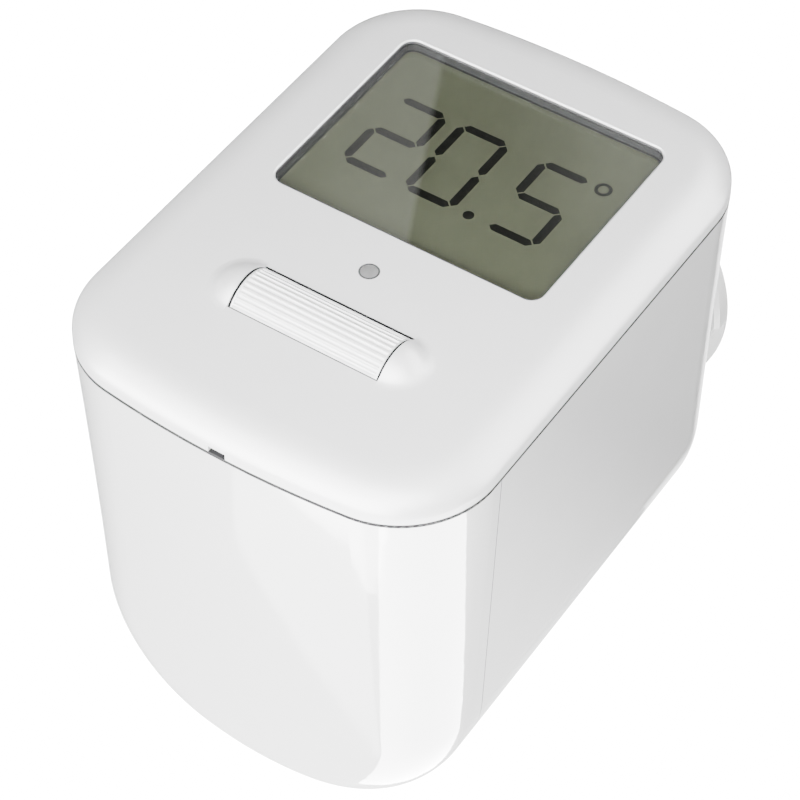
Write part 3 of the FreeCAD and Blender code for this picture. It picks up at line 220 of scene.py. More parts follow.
def polariser_paint():
    """Olive film of a reflective display, a little paler where the glue below it is thicker."""
    paint = Paint("display_film", (0.07, 0.075, 0.052), 0.6, Specular_IOR_Level=0.0)
    fibres = paint.noise(0.25, 3.0, paint.stretched((1.0, 5.0, 1.0)))
    cloud = paint.noise(14.0, 2.0)
    olive = paint.mixed(paint.ranged(cloud, 0.3, 0.7), (0.092, 0.0965, 0.0685), (0.102, 0.107, 0.077))
    speckle = paint.ranged(fibres, 0.35, 0.65, 0.0, 0.12)
    paint.tinted(speckle, olive, (0.122, 0.127, 0.096))
    paint.rough(fibres, 0.55, 0.68)
    paint.bump(paint.noise(0.3, 2.0), 0.001, 0.5)
    return paint


def segment_paint():
    """Switched-on liquid crystal: nearly black with a green cast and a faintly mottled edge."""
    paint = Paint("display_ink", (0.01, 0.0105, 0.0085), 0.5, Specular_IOR_Level=0.0)
    paint.tinted(paint.noise(0.2, 3.0), (0.004, 0.0042, 0.0036), (0.007, 0.0072, 0.0062))
    paint.rough(paint.noise(0.5, 2.0), 0.42, 0.6)
    paint.bump(paint.noise(0.15, 2.0), 0.001, 0.4)
    return paint


def board_paint():
    """Green solder mask over copper tracks, with the tracks standing slightly proud."""
    paint = Paint("solder_mask", (0.015, 0.12, 0.045), 0.3, Coat_Weight=0.3)
    tracks = paint.node("TexBrick", offset=0.5)
    tracks.inputs["Scale"].default_value = 1.0
    tracks.inputs["Mortar Size"].default_value = 0.16 * MM
    tracks.inputs["Brick Width"].default_value = 3.1 * MM
    tracks.inputs["Row Height"].default_value = 1.27 * MM
    paint.join(paint.place, tracks.inputs["Vector"])
    paint.tinted(tracks.outputs["Fac"], (0.012, 0.1, 0.038), (0.03, 0.2, 0.07))
    paint.rough(paint.noise(0.8, 3.0), 0.22, 0.4)
    paint.bump(tracks.outputs["Fac"], 0.03, 0.6)
    paint.bump(paint.noise(0.2, 2.0), 0.004, 0.5)
    return paint


def strip_paint():
    """Layered rubber strip: conducting and insulating layers a fraction of a millimetre thick."""
    paint = Paint("layered_rubber", (0.4, 0.4, 0.38), 0.7)
    layers = paint.ranged(paint.bands(0.18), 0.4, 0.6)
    paint.tinted(layers, (0.02, 0.02, 0.02), (0.6, 0.58, 0.55))
    paint.rough(paint.noise(0.4, 2.0), 0.6, 0.8)
    paint.bump(paint.bands(0.18), 0.01)
    return paint


def cell_paint():
    """Plastic-film jacket of a dry cell: dark body, coppery shoulder band, bare steel ends."""
    paint = Paint("cell_film", (0.02, 0.02, 0.022), 0.25, Coat_Weight=0.6)
    y = paint.along("Y")
    ends = 0.0006
    low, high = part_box("battery_left")[0].y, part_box("battery_left")[1].y
    band = paint.ranged(y, low + 0.0145, low + 0.0146)
    colour = paint.mixed(band, (0.42, 0.16, 0.05), (0.022, 0.022, 0.025))
    bare = paint.ranged(y, low + ends, low + ends * 1.05)
    colour = paint.mixed(bare, (0.55, 0.55, 0.55), colour)
    stripe = paint.ranged(y, high - 0.0052, high - 0.0051)
    colour = paint.mixed(stripe, colour, (0.5, 0.5, 0.5))
    flecks = paint.ranged(paint.noise(0.3, 3.0), 0.4, 0.8, 0.0, 0.12)
    paint.tinted(flecks, colour, (0.3, 0.3, 0.3))
    paint.rough(paint.noise(1.5, 3.0), 0.18, 0.34)
    paint.bump(paint.noise(3.0, 2.0), 0.03, 0.3)
    return paint


def guide_paint():
    """Smoke-grey light guide with a lightly frosted end."""
    paint = Paint("smoked_guide", (0.42, 0.42, 0.42), 0.35, Transmission_Weight=0.15, IOR=1.49)
    paint.tinted(paint.noise(0.8, 2.0), (0.2, 0.2, 0.2), (0.26, 0.26, 0.26))
    paint.rough(paint.noise(0.5, 3.0), 0.28, 0.42)
    paint.bump(paint.grains(0.12), 0.003)
    return paint


PAINTS = {
    "white_satin_plastic": moulded("satin_white_abs", (0.8, 0.8, 0.805), (0.34, 0.42), 0.16, 0.0022),
    "white_gloss_plastic": moulded("gloss_white_abs", (0.8, 0.8, 0.8), (0.04, 0.07), 0.5, 0.0004, IOR=1.58),
    "wheel_plastic": moulded("wheel_white_abs", (0.8, 0.8, 0.8), (0.36, 0.46), 0.14, 0.002),
    "inner_plastic": moulded("inner_white_abs", (0.7, 0.7, 0.695), (0.42, 0.55), 0.2, 0.005),
    "gear_plastic": moulded("natural_acetal", (0.72, 0.7, 0.64), (0.3, 0.42), 0.3, 0.003),
    "dark_plastic": moulded("black_nylon", (0.02, 0.02, 0.022), (0.4, 0.55), 0.18, 0.006, 0.8),
    "chip": moulded("chip_resin", (0.018, 0.018, 0.02), (0.5, 0.65), 0.09, 0.006, 0.75),
    "steel": metal("bright_steel", (0.56, 0.56, 0.55), 0.28),
    "plated_metal": metal("nickel_plate", (0.66, 0.63, 0.58), 0.2, 0.2, 0.001),
    "brass": metal("turned_brass", (0.72, 0.5, 0.22), 0.25),
    "display_mirror": metal("reflector_foil", (0.6, 0.61, 0.55), 0.4, 0.3),
    "display_glass": polariser_paint(),
    "clear_pane": pane_paint(),
    "circuit_board": board_paint(),
    "elastomer": strip_paint(),
    "cell_jacket": cell_paint(),
    "light_pipe": guide_paint(),
}
INK = segment_paint()

for node in NODES.values():
    for material_slot in node.material_slots:
        material_slot.material = PAINTS[material_slot.material.name].material


# ---------------------------------------------------------------- display

def new_piece(name, body, material_slot, mesh_builder, paint=None):
    """A mesh object made by a bmesh builder, finished like the named slot and riding a body."""
    mesh = bpy.data.meshes.new(name)
    work = bmesh.new()
    mesh_builder(work)
    bmesh.ops.recalc_face_normals(work, faces=work.faces)
    work.to_mesh(mesh)
    work.free()
    piece = bpy.data.objects.new(name, mesh)
    bpy.context.scene.collection.objects.link(piece)
    mesh.materials.append((paint or PAINTS[material_slot]).material)
    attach(piece, body)
    return piece


def bridge(work, first, last):
    """Adds a closed block between two outlines that have the same number of points."""
    start = [work.verts.new(point) for point in first]
    end = [work.verts.new(point) for point in last]
    work.faces.new(start[::-1])
    work.faces.new(end)
    for here in range(len(start)):
        there = (here + 1) % len(start)
        work.faces.new((start[here], start[there], end[there], end[here]))


def prism(work, outline, low, high):
    """Adds an upright prism over a closed outline of (x, y) points."""
    bridge(work, [(x, y, low) for x, y in outline], [(x, y, high) for x, y in outline])


WINDOW_LOW, WINDOW_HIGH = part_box("display_window")
GLASS_LOW, GLASS_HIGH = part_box("lcd_front_glass")
FILM_LOW = GLASS_HIGH.z
FILM_HIGH = FILM_LOW + 0.04 * MM
INK_HIGH = FILM_HIGH + 0.025 * MM

# The seven bars of a digit: its centre in half-widths and half-heights, and whether it lies along X.
BARS = {
    "top": (0.0, 1.0, True),
    "middle": (0.0, 0.0, True),
    "bottom": (0.0, -1.0, True),
    "left_high": (-1.0, 0.5, False),
    "left_low": (-1.0, -0.5, False),
    "right_high": (1.0, 0.5, False),
    "right_low": (1.0, -0.5, False),
}
DIGITS = (
    (-11.3, ("top", "right_high", "middle", "left_low", "bottom")),
    (-2.05, ("top", "left_high", "left_low", "right_high", "right_low", "bottom")),
    (9.95, ("top", "left_high", "middle", "right_low", "bottom")),
)
DIGIT_HALF_WIDTH = 3.22
DIGIT_HALF_HEIGHT = 6.5
BAR_HALF = 0.58
BAR_GAP = 0.32
DOT_X, DOT_RADIUS = 3.85, 0.72
DEGREE_X, DEGREE_OUTER, DEGREE_INNER = 15.3, 1.15, 0.68
DISPLAY_Y = (GLASS_LOW.y + GLASS_HIGH.y) / 2 / MM + 1.5


def bar_outline(x, y, half_length, lying):
    """A bar with pointed ends, in millimetres."""
    shoulder = half_length - BAR_HALF
    along = (-half_length, -shoulder, shoulder, half_length, shoulder, -shoulder)
    across = (0.0, -BAR_HALF, -BAR_HALF, 0.0, BAR_HALF, BAR_HALF)
    if lying:
        return [(x + a, y + b) for a, b in zip(along, across)]
    return [(x - b, y + a) for a, b in zip(along, across)]


def ring_outline(x, y, radius, count=40):
    steps = [2 * math.pi * step / count for step in range(count)]
    return [(x + radius * math.cos(a), y + radius * math.sin(a)) for a in steps]


def scaled(outline):
    return [(x * MM, y * MM) for x, y in outline]


def build_digits(work):
    for x, bars in DIGITS:
        for bar in bars:
            across, up, lying = BARS[bar]
            half = (DIGIT_HALF_WIDTH if lying else DIGIT_HALF_HEIGHT / 2) - BAR_GAP / 2
            outline = bar_outline(
                x + across * DIGIT_HALF_WIDTH, DISPLAY_Y + up * DIGIT_HALF_HEIGHT, half, lying
            )
            prism(work, scaled(outline), FILM_HIGH, INK_HIGH)
    prism(work, scaled(ring_outline(DOT_X, DISPLAY_Y - DIGIT_HALF_HEIGHT, DOT_RADIUS)), FILM_HIGH, INK_HIGH)


def ring(work, outer, inner, low, high):
    """Adds a closed upright band between two outlines that have the same number of points."""
    rows = [
        [work.verts.new((x, y, z)) for x, y in outline]
        for outline, z in ((outer, low), (outer, high), (inner, high), (inner, low))
    ]
    for row in range(4):
        first, second = rows[row], rows[(row + 1) % 4]
        for here in range(len(first)):
            there = (here + 1) % len(first)
            work.faces.new((first[here], first[there], second[there], second[here]))


def build_degree_ring(work):
    outer = scaled(ring_outline(DEGREE_X, DISPLAY_Y + DIGIT_HALF_HEIGHT, DEGREE_OUTER))
    inner = scaled(ring_outline(DEGREE_X, DISPLAY_Y + DIGIT_HALF_HEIGHT, DEGREE_INNER))
    ring(work, outer, inner, FILM_HIGH, INK_HIGH)


def rounded_outline(low_x, low_y, high_x, high_y, radius, steps=8):
    points = []
    corners = (
        (high_x - radius, high_y - radius, 0.0),
        (low_x + radius, high_y - radius, 90.0),
        (low_x + radius, low_y + radius, 180.0),
        (high_x - radius, low_y + radius, 270.0),
    )
    for x, y, start in corners:
        for step in range(steps + 1):
            angle = math.radians(start + 90.0 * step / steps)
            points.append((x + radius * math.cos(angle), y + radius * math.sin(angle)))
    return points


def build_film(work):
    edge = 0.35 * MM
    outline = rounded_outline(
        GLASS_LOW.x + edge, GLASS_LOW.y + edge, GLASS_HIGH.x - edge, GLASS_HIGH.y - edge, 0.4 * MM
    )
    prism(work, outline, FILM_LOW, FILM_HIGH)


new_piece("display_film", "base", "display_glass", build_film)
new_piece("display_digits", "base", "display_glass", build_digits, INK)
new_piece("display_degree_ring", "base", "display_glass", build_degree_ring, INK)


# ---------------------------------------------------------------- dark pieces that paint the shade in the gaps

COVER_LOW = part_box("top_cover")[0]
GUIDE_LOW, GUIDE_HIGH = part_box("light_guide")
WHEEL_LOW, WHEEL_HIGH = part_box("setting_wheel")
HOUSING_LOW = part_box("main_housing")[0]
WHEEL_MIDDLE = (WHEEL_LOW + WHEEL_HIGH) / 2
TOP_FACE = GUIDE_HIGH.z + 0.05 * MM
PARTING_GAP = 0.3 * MM
SEAM_HALF_GAP = 0.07 * MM
GAP_SHADE_INSET = 0.005 * MM
GAP_SHADE_DEPTH = 0.6 * MM
RIM_SHADE_DEPTH = 0.5 * MM
NOTCH_SHADE_THICKNESS = 0.08 * MM
CROWDED = 0.1 * MM
WELD = 0.001 * MM


def hull_at(node, axis, level, across, up):
    """The convex outline of the vertices that a node's mesh has at a level along an axis."""
    points = [
        Vector((vertex.co[across], vertex.co[up]))
        for vertex in NODES[node].data.vertices
        if abs(vertex.co[axis] - level) < 0.02 * MM
    ]
    return [points[index] for index in convex_hull_2d(points)]


def thinned(points, gap):
    """The same outline without points that crowd together."""
    kept = [points[0]]
    for point in points[1:]:
        if (point - kept[-1]).length > gap:
            kept.append(point)
    return kept


def inset(points, distance):
    """The closed outline moved inward, for points that run anticlockwise."""
    moved = []
    for here, point in enumerate(points):
        before, after = points[here - 1], points[(here + 1) % len(points)]
        way = ((point - before).normalized() + (after - point).normalized()).normalized()
        moved.append(point + Vector((-way.y, way.x)) * distance)
    return moved


def anticlockwise(points):
    area = sum(a.cross(b) for a, b in zip(points, points[1:] + points[:1]))
    return points if area > 0 else points[::-1]


def parting_level():
    """Height of the cover's lower outer edge: the widest level of its mesh."""
    edge = max(abs(vertex.co.x) for vertex in NODES["top_cover"].data.vertices)
    return min(v.co.z for v in NODES["top_cover"].data.vertices if abs(v.co.x) > edge - 0.005 * MM)


# Dark band filling the parting gap under the cover's edge: painted shade in the gap.
def build_parting_shade(work):
    level = parting_level()
    outline = anticlockwise(thinned(hull_at("top_cover", 2, level, 0, 1), CROWDED))
    low, high = level - PARTING_GAP + GAP_SHADE_INSET, level + GAP_SHADE_INSET
    ring(work, inset(outline, GAP_SHADE_INSET), inset(outline, GAP_SHADE_DEPTH), low, high)


def split_at(points, level):
    """The closed outline with extra points where it crosses a level of y."""
    made = []
    for here, point in enumerate(points):
        after = points[(here + 1) % len(points)]
        made.append(point)
        if (point.y - level) * (after.y - level) < 0:
            made.append(point.lerp(after, (level - point.y) / (after.y - point.y)))
    return made


def build_rim_shade(work, is_cap):
    """Thin dark line along the body's upper edge, painted shade under the parting line, on the cap's side
    of the seam or behind it.
    """
    level = parting_level()
    seam = HOUSING_LOW.y - SEAM_HALF_GAP
    outline = split_at(anticlockwise(thinned(hull_at("top_cover", 2, level, 0, 1), CROWDED)), seam)
    low, high = CAD_BOX
    outer = [
        Vector((min(max(point.x, low.x), high.x), max(point.y, low.y)))
        for point in inset(outline, -0.025 * MM)
    ]
    inner = inset(outline, 0.04 * MM)
    for here in range(len(outline)):
        there = (here + 1) % len(outline)
        if is_cap != ((outline[here].y + outline[there].y) / 2 < seam):
            continue
        corners = [outer[here], outer[there], inner[there], inner[here]]
        bridge(
            work,
            [(c.x, c.y, level - RIM_SHADE_DEPTH) for c in corners],
            [(c.x, c.y, level - PARTING_GAP - 0.002 * MM) for c in corners],
        )
    bmesh.ops.remove_doubles(work, verts=work.verts, dist=WELD)


def build_cap_rim_shade(work):
    build_rim_shade(work, True)


def build_body_rim_shade(work):
    build_rim_shade(work, False)


def build_seam_shade(work):
    """A dark U-shaped strip in the joint between the cap and the housing: painted shade in the seam."""
    level = HOUSING_LOW.y
    outline = anticlockwise(thinned(hull_at("main_housing", 1, level, 0, 2), CROWDED))
    top = max(point.y for point in outline)
    outer = inset(outline, GAP_SHADE_INSET)
    inner = inset(outline, GAP_SHADE_DEPTH)
    front, rear = level - 0.12 * MM, level + GAP_SHADE_INSET
    for here in range(len(outline)):
        there = (here + 1) % len(outline)
        if min(outline[here].y, outline[there].y) > top - 0.1 * MM:
            continue
        corners = [outer[here], outer[there], inner[there], inner[here]]
        bridge(work, [(c.x, front, c.y) for c in corners], [(c.x, rear, c.y) for c in corners])
    bmesh.ops.remove_doubles(work, verts=work.verts, dist=WELD)


SLOT_RADIUS = 4.9 * MM
SLOT_HALF = WHEEL_HIGH.x + 0.35 * MM
DOME_SHADE_RADIUS = 4.66 * MM
SLOT_SHADE_DEPTH = 1.45 * MM
SLOT_SHADE_END = SLOT_HALF - 0.06 * MM
LIP = 0.01 * MM


def arc(radius, low, high, side, steps=12):
    """Points (y, z) of a wheel-centred arc between two heights, on the near (-1) or far (1) side."""
    first = math.asin(max(-1.0, min(1.0, (low - WHEEL_MIDDLE.z) / radius)))
    last = math.asin(max(-1.0, min(1.0, (high - WHEEL_MIDDLE.z) / radius)))
    angles = [first + (last - first) * step / steps for step in range(steps + 1)]
    return [
        (WHEEL_MIDDLE.y + side * radius * math.cos(a), WHEEL_MIDDLE.z + radius * math.sin(a))
        for a in angles
    ]


def extrude_along_x(work, outline, start, end):
    """Adds a block over a closed outline of (y, z) points."""
    bridge(work, [(start, y, z) for y, z in outline], [(end, y, z) for y, z in outline])


def shade_strip(outer, inner, low, high, side):
    """The (y, z) outline of a skin on one wall of the wheel's slot."""
    return arc(outer, low, high, side) + arc(inner, low, high, side)[::-1]


def build_slot_shade(work):
    """Dark skin on the far wall of the wheel's slot, with a thin lip, and on the two domes' flat faces:
    painted shade in the gaps round the wheel.
    """
    low = TOP_FACE - SLOT_SHADE_DEPTH
    strip = shade_strip(SLOT_RADIUS - 0.005 * MM, SLOT_RADIUS - 0.09 * MM, low, TOP_FACE, 1)
    far = max(y for y, z in strip if z > TOP_FACE - 0.001 * MM)
    lip = [
        (far, TOP_FACE),
        (far + 0.07 * MM, TOP_FACE - 0.002 * MM),
        (far + 0.07 * MM, TOP_FACE + LIP),
        (far - 0.05 * MM, TOP_FACE + LIP),
        (far - 0.05 * MM, TOP_FACE - 0.02 * MM),
    ]
    extrude_along_x(work, strip, -SLOT_SHADE_END, SLOT_SHADE_END)
    extrude_along_x(work, lip, -SLOT_SHADE_END, SLOT_SHADE_END)
    crest = WHEEL_MIDDLE.z + DOME_SHADE_RADIUS * 0.998
    face = arc(DOME_SHADE_RADIUS, low, crest, 1) + arc(DOME_SHADE_RADIUS, low, crest, -1)[::-1]
    for side in (-1, 1):
        extrude_along_x(work, face, side * (SLOT_HALF - 0.005 * MM), side * (SLOT_HALF - 0.07 * MM))


def build_near_shade(work):
    """Grey strip that fills the near side of the wheel's slot: painted shade in the gap beside the wheel.
    """
    low, high = TOP_FACE - 0.6 * MM, TOP_FACE - 0.02 * MM
    strip = shade_strip(SLOT_RADIUS - 0.005 * MM, SLOT_RADIUS - 0.16 * MM, low, high, -1)
    extrude_along_x(work, strip, -SLOT_SHADE_END, SLOT_SHADE_END)


def wheel_disc(radius):
    """A circle of (y, z) points round the wheel's axis; the radius is in millimetres."""
    return [(y * MM, z * MM) for y, z in ring_outline(WHEEL_MIDDLE.y / MM, WHEEL_MIDDLE.z / MM, radius, 64)]


def build_wheel_flanges(work):
    """Smooth rims that close the ribs at both ends of the wheel."""
    for side in (-1, 1):
        start, end = side * (WHEEL_HIGH.x - 0.2 * MM), side * (WHEEL_HIGH.x + 0.01 * MM)
        extrude_along_x(work, wheel_disc(4.69), start, end)


def build_wheel_end_shade(work):
    """Dark discs on the outer sides of the wheel's rims: painted shade in the gaps at the wheel's ends."""
    for side in (-1, 1):
        start, end = side * (WHEEL_HIGH.x + 0.012 * MM), side * (WHEEL_HIGH.x + 0.16 * MM)
        extrude_along_x(work, wheel_disc(4.62), start, end)


def around(low, high, extra):
    """A box's outline, grown by extra metres, with rounded corners."""
    return rounded_outline(low.x - extra, low.y - extra, high.x + extra, high.y + extra, 1.7 * MM + extra)


def build_pane(work):
    """Clear window with a narrow chamfer above, and its side faces painted dark as the shade seen through
    its edges.
    """
    shoulder = WINDOW_HIGH.z - 0.12 * MM
    levels = ((0.0, WINDOW_LOW.z), (0.0, shoulder), (-0.1 * MM, WINDOW_HIGH.z))
    rows = [
        [work.verts.new((x, y, z)) for x, y in around(WINDOW_LOW, WINDOW_HIGH, grown)]
        for grown, z in levels
    ]
    # The sides take the pane's second paint, the dark one: painted shade on the pane's edges.
    for first, second, paint_index in ((rows[0], rows[1], 1), (rows[1], rows[2], 0)):
        for here in range(len(first)):
            there = (here + 1) % len(first)
            face = work.faces.new((first[here], first[there], second[there], second[here]))
            face.material_index = paint_index
    work.faces.new(rows[0][::-1])
    work.faces.new(rows[2])


def window_ring(work, outer, inner, low, high):
    """A band round the window, between two distances (mm) outside the pane's edge."""
    outlines = [around(WINDOW_LOW, WINDOW_HIGH, extra * MM) for extra in (outer, inner)]
    ring(work, *outlines, low, high)


# Dark band filling the gap round the pane: painted shade in the gap.
def build_window_gap_shade(work):
    window_ring(work, 0.11, 0.01, WINDOW_LOW.z + 0.05 * MM, WINDOW_HIGH.z - 0.03 * MM)


def build_window_edge_shade(work):
    """Dark band under the pane's edges: painted shade along the window's edges."""
    window_ring(work, 0.1, -0.32, WINDOW_LOW.z - 0.06 * MM, WINDOW_LOW.z - 0.02 * MM)


def build_window_wall_shade(work):
    """Grey band between the pane and the opening: painted shade on the opening's wall."""
    window_ring(work, 0.117, 0.085, WINDOW_HIGH.z - 0.02 * MM, WINDOW_HIGH.z + 0.3 * MM)


def build_guide_shade(work):
    """Dark ring round the end of the light guide, lying on the cover: painted shade at the hole's edge."""
    middle = (GUIDE_LOW + GUIDE_HIGH) / 2
    outer, inner = (
        [(x * MM + middle.x, y * MM + middle.y) for x, y in ring_outline(0, 0, radius)]
        for radius in (1.33, 1.09)
    )
    ring(work, outer, inner, TOP_FACE - 0.004 * MM, TOP_FACE + 0.012 * MM)


def build_notch_shade(work):
    """Dark sheet at the back of the pry notch in the cover's front edge: painted shade in the recess."""
    level = parting_level()
    outline = rounded_outline(-1.48 * MM, level - 0.02 * MM, 0.88 * MM, level + 0.86 * MM, 0.15 * MM, 4)
    back = COVER_LOW.y + 0.75 * MM
    bridge(work, [(x, back - NOTCH_SHADE_THICKNESS, z) for x, z in outline], [(x, back, z) for x, z in outline])


# Paints for pieces that stand in for shade: near black for deep gaps, dark grey for shallow ones.
PAINTED_SHADE_DARK = moulded("painted_shade_dark", (0.014, 0.014, 0.015), (0.6, 0.8), 0.12, 0.003, 0.8, Specular_IOR_Level=0.1)
PAINTED_SHADE_GREY = moulded("painted_shade_grey", (0.05, 0.05, 0.052), (0.5, 0.7), 0.12, 0.002, 0.9, Specular_IOR_Level=0.2)

# These dark and grey pieces paint the shade that the gaps, recesses and edges would have.
new_piece("parting_shade", "base", "dark_plastic", build_parting_shade, PAINTED_SHADE_DARK)
new_piece("cap_rim_shade", "cap", "dark_plastic", build_cap_rim_shade, PAINTED_SHADE_DARK)
new_piece("body_rim_shade", "base", "dark_plastic", build_body_rim_shade, PAINTED_SHADE_DARK)
new_piece("seam_shade", "base", "dark_plastic", build_seam_shade, PAINTED_SHADE_DARK)
new_piece("wheel_slot_shade", "base", "dark_plastic", build_slot_shade, PAINTED_SHADE_DARK)
new_piece("wheel_slot_near_shade", "base", "dark_plastic", build_near_shade, PAINTED_SHADE_GREY)
new_piece("wheel_flanges", "wheel", "wheel_plastic", build_wheel_flanges)
new_piece("wheel_end_shade", "wheel", "dark_plastic", build_wheel_end_shade, PAINTED_SHADE_DARK)
pane = new_piece("display_pane", "base", "clear_pane", build_pane)
# Second paint of the pane: painted shade on its sides.
pane.data.materials.append(PAINTED_SHADE_DARK.material)
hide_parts("display_window")
new_piece("window_gap_shade", "base", "dark_plastic", build_window_gap_shade, PAINTED_SHADE_DARK)
new_piece("window_wall_shade", "base", "dark_plastic", build_window_wall_shade, PAINTED_SHADE_GREY)
new_piece("window_edge_shade", "base", "dark_plastic", build_window_edge_shade, PAINTED_SHADE_DARK)
new_piece("light_guide_shade", "base", "light_pipe", build_guide_shade, PAINTED_SHADE_GREY)
new_piece("notch_shade", "base", "dark_plastic", build_notch_shade, PAINTED_SHADE_GREY)


# ---------------------------------------------------------------- studio

def make_world():
    """A soft grey studio, dark behind the object so that the display keeps its contrast."""
    world = bpy.data.worlds.new("studio")
    bpy.context.scene.world = world
    world.use_nodes = True
    tree = world.node_tree
    background = tree.nodes["Background"]
    place = tree.nodes.new("ShaderNodeTexCoord").outputs["Generated"]
    towards = tree.nodes.new("ShaderNodeVectorMath")
    towards.operation = "DOT_PRODUCT"
    towards.inputs[1].default_value = Vector((-0.38, 0.61, 0.69)).normalized()
    tree.links.new(place, towards.inputs[0])
    fade = tree.nodes.new("ShaderNodeMapRange")
    fade.interpolation_type = "SMOOTHSTEP"
    fade.inputs["From Min"].default_value = 0.55
    fade.inputs["From Max"].default_value = 0.93
    fade.inputs["To Min"].default_value = WORLD_LIGHT
    fade.inputs["To Max"].default_value = 0.03
    tree.links.new(towards.outputs["Value"], fade.inputs["Value"])
    tree.links.new(fade.outputs["Result"], background.inputs["Strength"])
    background.inputs["Color"].default_value = (1.0, 1.0, 1.0, 1.0)


def softbox(name, centre, size, radiance, aim=None):
    """A rectangular light of even brightness that the camera doesn't see."""
    data = bpy.data.lights.new(name, "AREA")
    data.shape = "RECTANGLE"
    data.size, data.size_y = size
    data.energy = radiance * math.pi * size[0] * size[1]
    lamp = bpy.data.objects.new(name, data)
    lamp.location = centre
    facing = Vector(aim or CENTRE) - Vector(centre)
    lamp.rotation_euler = facing.to_track_quat("-Z", "Y").to_euler()
    lamp.visible_camera = False
    bpy.context.scene.collection.objects.link(lamp)


def flat_piece(name, outline, height):
    """A flat sheet over (x, y) points at a height, or over (x, y, z) points when the height is None."""
    points = outline if height is None else [(x, y, height) for x, y in outline]
    mesh = bpy.data.meshes.new(name)
    mesh.from_pydata(points, [], [tuple(range(len(points)))])
    piece = bpy.data.objects.new(name, mesh)
    bpy.context.scene.collection.objects.link(piece)
    return piece


def card(name, outline, height, strength, *fades, shine_only=True):
    """A glowing studio card that the camera doesn't see. A fade is (direction, dark from, bright from)."""
    paint = Paint(name, (0.0, 0.0, 0.0), 1.0)
    paint.shader.inputs["Emission Color"].default_value = (1.0, 1.0, 1.0, 1.0)
    paint.shader.inputs["Emission Strength"].default_value = strength
    glow = None
    for direction, dark, bright in fades:
        full = 1.0 if glow else strength
        share = paint.ranged(paint.towards(direction), dark, bright, 0.0, full, smooth=True)
        glow = paint.times(glow, share) if glow else share
    if glow:
        paint.join(glow, paint.shader.inputs["Emission Strength"])
    piece = flat_piece(name, outline, height)
    piece.data.materials.append(paint.material)
    piece.visible_camera = False
    piece.visible_diffuse = not shine_only
    return piece


FLOOR_Z = -0.42
FLOOR_GLOW = 25.0


def make_floor():
    """A wide white light table. Only the camera sees its glow, so it casts no light on the object."""
    paint = Paint("light_table", (0.8, 0.8, 0.8), 0.9)
    paint.shader.inputs["Emission Color"].default_value = (1.0, 1.0, 1.0, 1.0)
    cloud = paint.ranged(paint.noise(400.0), 0.3, 0.7, FLOOR_GLOW * 0.96, FLOOR_GLOW)
    paint.join(cloud, paint.shader.inputs["Emission Strength"])
    paint.rough(paint.noise(30.0), 0.85, 0.95)
    paint.bump(paint.noise(2.0), 0.02, 0.3)
    floor = flat_piece("floor", ((-4, -4), (4, -4), (4, 4), (-4, 4)), FLOOR_Z)
    floor.data.materials.append(paint.material)
    floor.visible_diffuse = False
    floor.visible_glossy = False
    floor.visible_transmission = False


def make_camera():
    """The three-quarter view from the front right and above."""
    azimuth, elevation, roll = math.radians(33.66), math.radians(48.37), math.radians(0.13)
    back = Vector((
        math.sin(azimuth) * math.cos(elevation),
        -math.cos(azimuth) * math.cos(elevation),
        math.sin(elevation),
    ))
    aim = Vector((-5.15, -44.76, -0.05)) * MM
    data = bpy.data.cameras.new("camera")
    data.lens = 130.05
    data.sensor_width = 36.0
    data.clip_start = 0.01
    camera = bpy.data.objects.new("camera", data)
    camera.location = aim + back * 0.385
    facing = back.to_track_quat("Z", "Y") @ Euler((0, 0, roll)).to_quaternion()
    camera.rotation_euler = facing.to_euler()
    bpy.context.scene.collection.objects.link(camera)
    bpy.context.scene.camera = camera


CENTRE = (CAD_BOX[0] + CAD_BOX[1]) / 2
WORLD_LIGHT = 0.4

make_world()
make_floor()
make_camera()
# Each softbox: centre, size, radiance and, where it isn't the object's middle, the point it aims at.
softbox("front_low", (-0.1, -1.3, -0.35), (1.2, 0.5), 15.5)
softbox("left_side", (-1.2, 0.2, 0.0), (0.9, 0.7), 4.0)
softbox("rear_side", (0.1, 1.3, -0.05), (1.2, 0.6), 4.0)
softbox("near_over", (0.08, -0.16, 0.3), (0.15, 0.15), 15.0)
softbox("near_front", (0.03, -0.19, 0.13), (0.14, 0.06), 19.0, (0.01, -0.08, 0.04))
softbox("near_corner", (0.16, -0.22, 0.18), (0.12, 0.12), 22.0)
softbox("near_low", (0.0, -0.28, -0.18), (0.2, 0.1), 30.0, (0.01, -0.08, -0.02))
softbox("under_right", (0.1, -0.05, -0.2), (0.12, 0.15), 1.0)

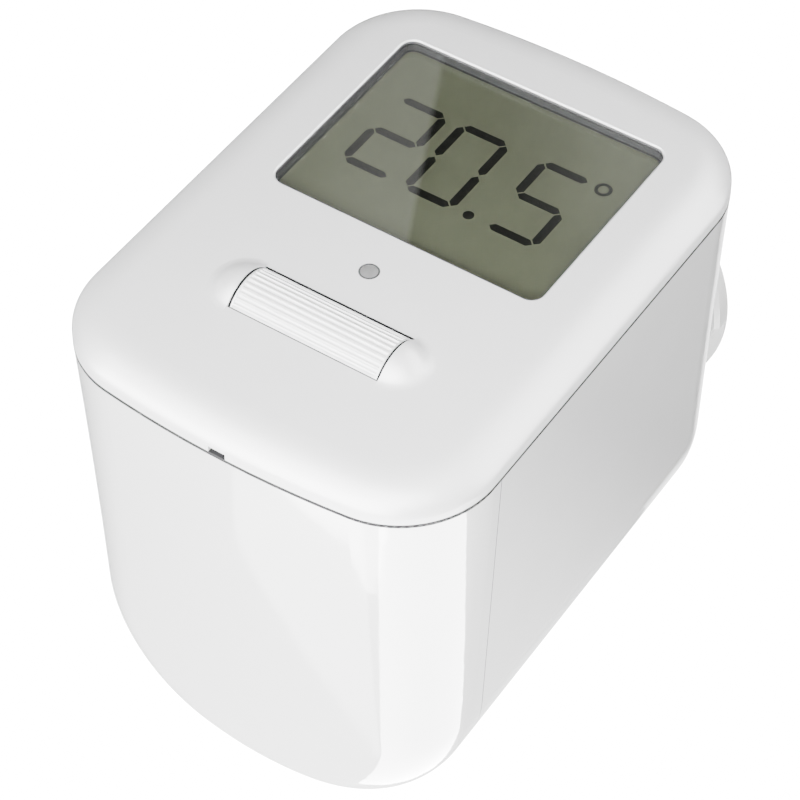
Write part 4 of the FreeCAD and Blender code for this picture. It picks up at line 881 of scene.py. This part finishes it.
ALONG_X, ALONG_Y = (1.0, 0.0), (0.0, 1.0)
ACROSS_DISPLAY = (0.9, 0.435)
TOWARDS_CORNER = (0.77, 0.64)
CEILING = 1.0
TABLE = -0.345


def oblong(low_x, low_y, high_x, high_y):
    return ((low_x, low_y), (high_x, low_y), (high_x, high_y), (low_x, high_y))


# Cards overhead and upright ones, seen in the display's pane and in the cover's rounded edges.
card("left_card", ((-0.95, 1.1), (-0.695, 1.1), (-0.454, 0.6), (-0.95, 0.6)), CEILING, 0.6,
     (ACROSS_DISPLAY, -0.27, -0.16), (ACROSS_DISPLAY, -0.146, -0.152))
card("far_card", oblong(-0.6, 0.7, -0.3, 1.1), CEILING + 0.01, 0.6, (TOWARDS_CORNER, 0.13, 0.23))
card("right_upright", ((1.2, 0.4, -0.5), (1.2, 1.4, -0.5), (1.2, 1.4, 0.95), (1.2, 0.4, 0.95)), None, 35.0)
card("front_upright", ((-1.1, -1.0, -0.25), (0.5, -1.0, -0.25), (0.5, -1.0, 0.9), (-1.1, -1.0, 0.9)),
     None, 80.0)
card("back_card", ((-0.25, 0.66), (1.6, 0.5), (1.8, 1.8), (-0.25, 1.4)), CEILING, 50.0,
     (ALONG_X, -0.25, 0.15))
card("front_top_card", oblong(-1.0, -1.0, 0.7, -0.3), CEILING, 45.0)

# Cards on the table, seen in the glossy front and side. The floor light also lights the body from below.
card("floor_light", oblong(-0.5, -0.6, 0.45, 0.25), -0.352, 4.4,
     (ALONG_Y, 0.245, 0.12), (ALONG_X, -0.45, -0.05), (ALONG_X, 0.44, 0.25), shine_only=False)
card("front_card", ((-0.175, -0.284), (-0.083, -0.273), (-0.012, -0.265), (-0.006, -0.46), (-0.262, -0.46)),
     TABLE, 13.0)
card("corner_card", ((0.0, -0.29), (-0.03, -0.12), (0.03, 0.03), (0.15, 0.04), (0.215, 0.06), (0.3, 0.013),
     (0.42, -0.1), (0.2, -0.45)), TABLE, 45.0)
card("side_card", oblong(0.09, 0.05, 0.2, 0.24), TABLE, 5.0, (ALONG_Y, 0.24, 0.13))
card("rear_corner_card", oblong(-0.2, 0.2, 0.09, 0.45), TABLE, 4.5, (ALONG_X, 0.09, 0.02))
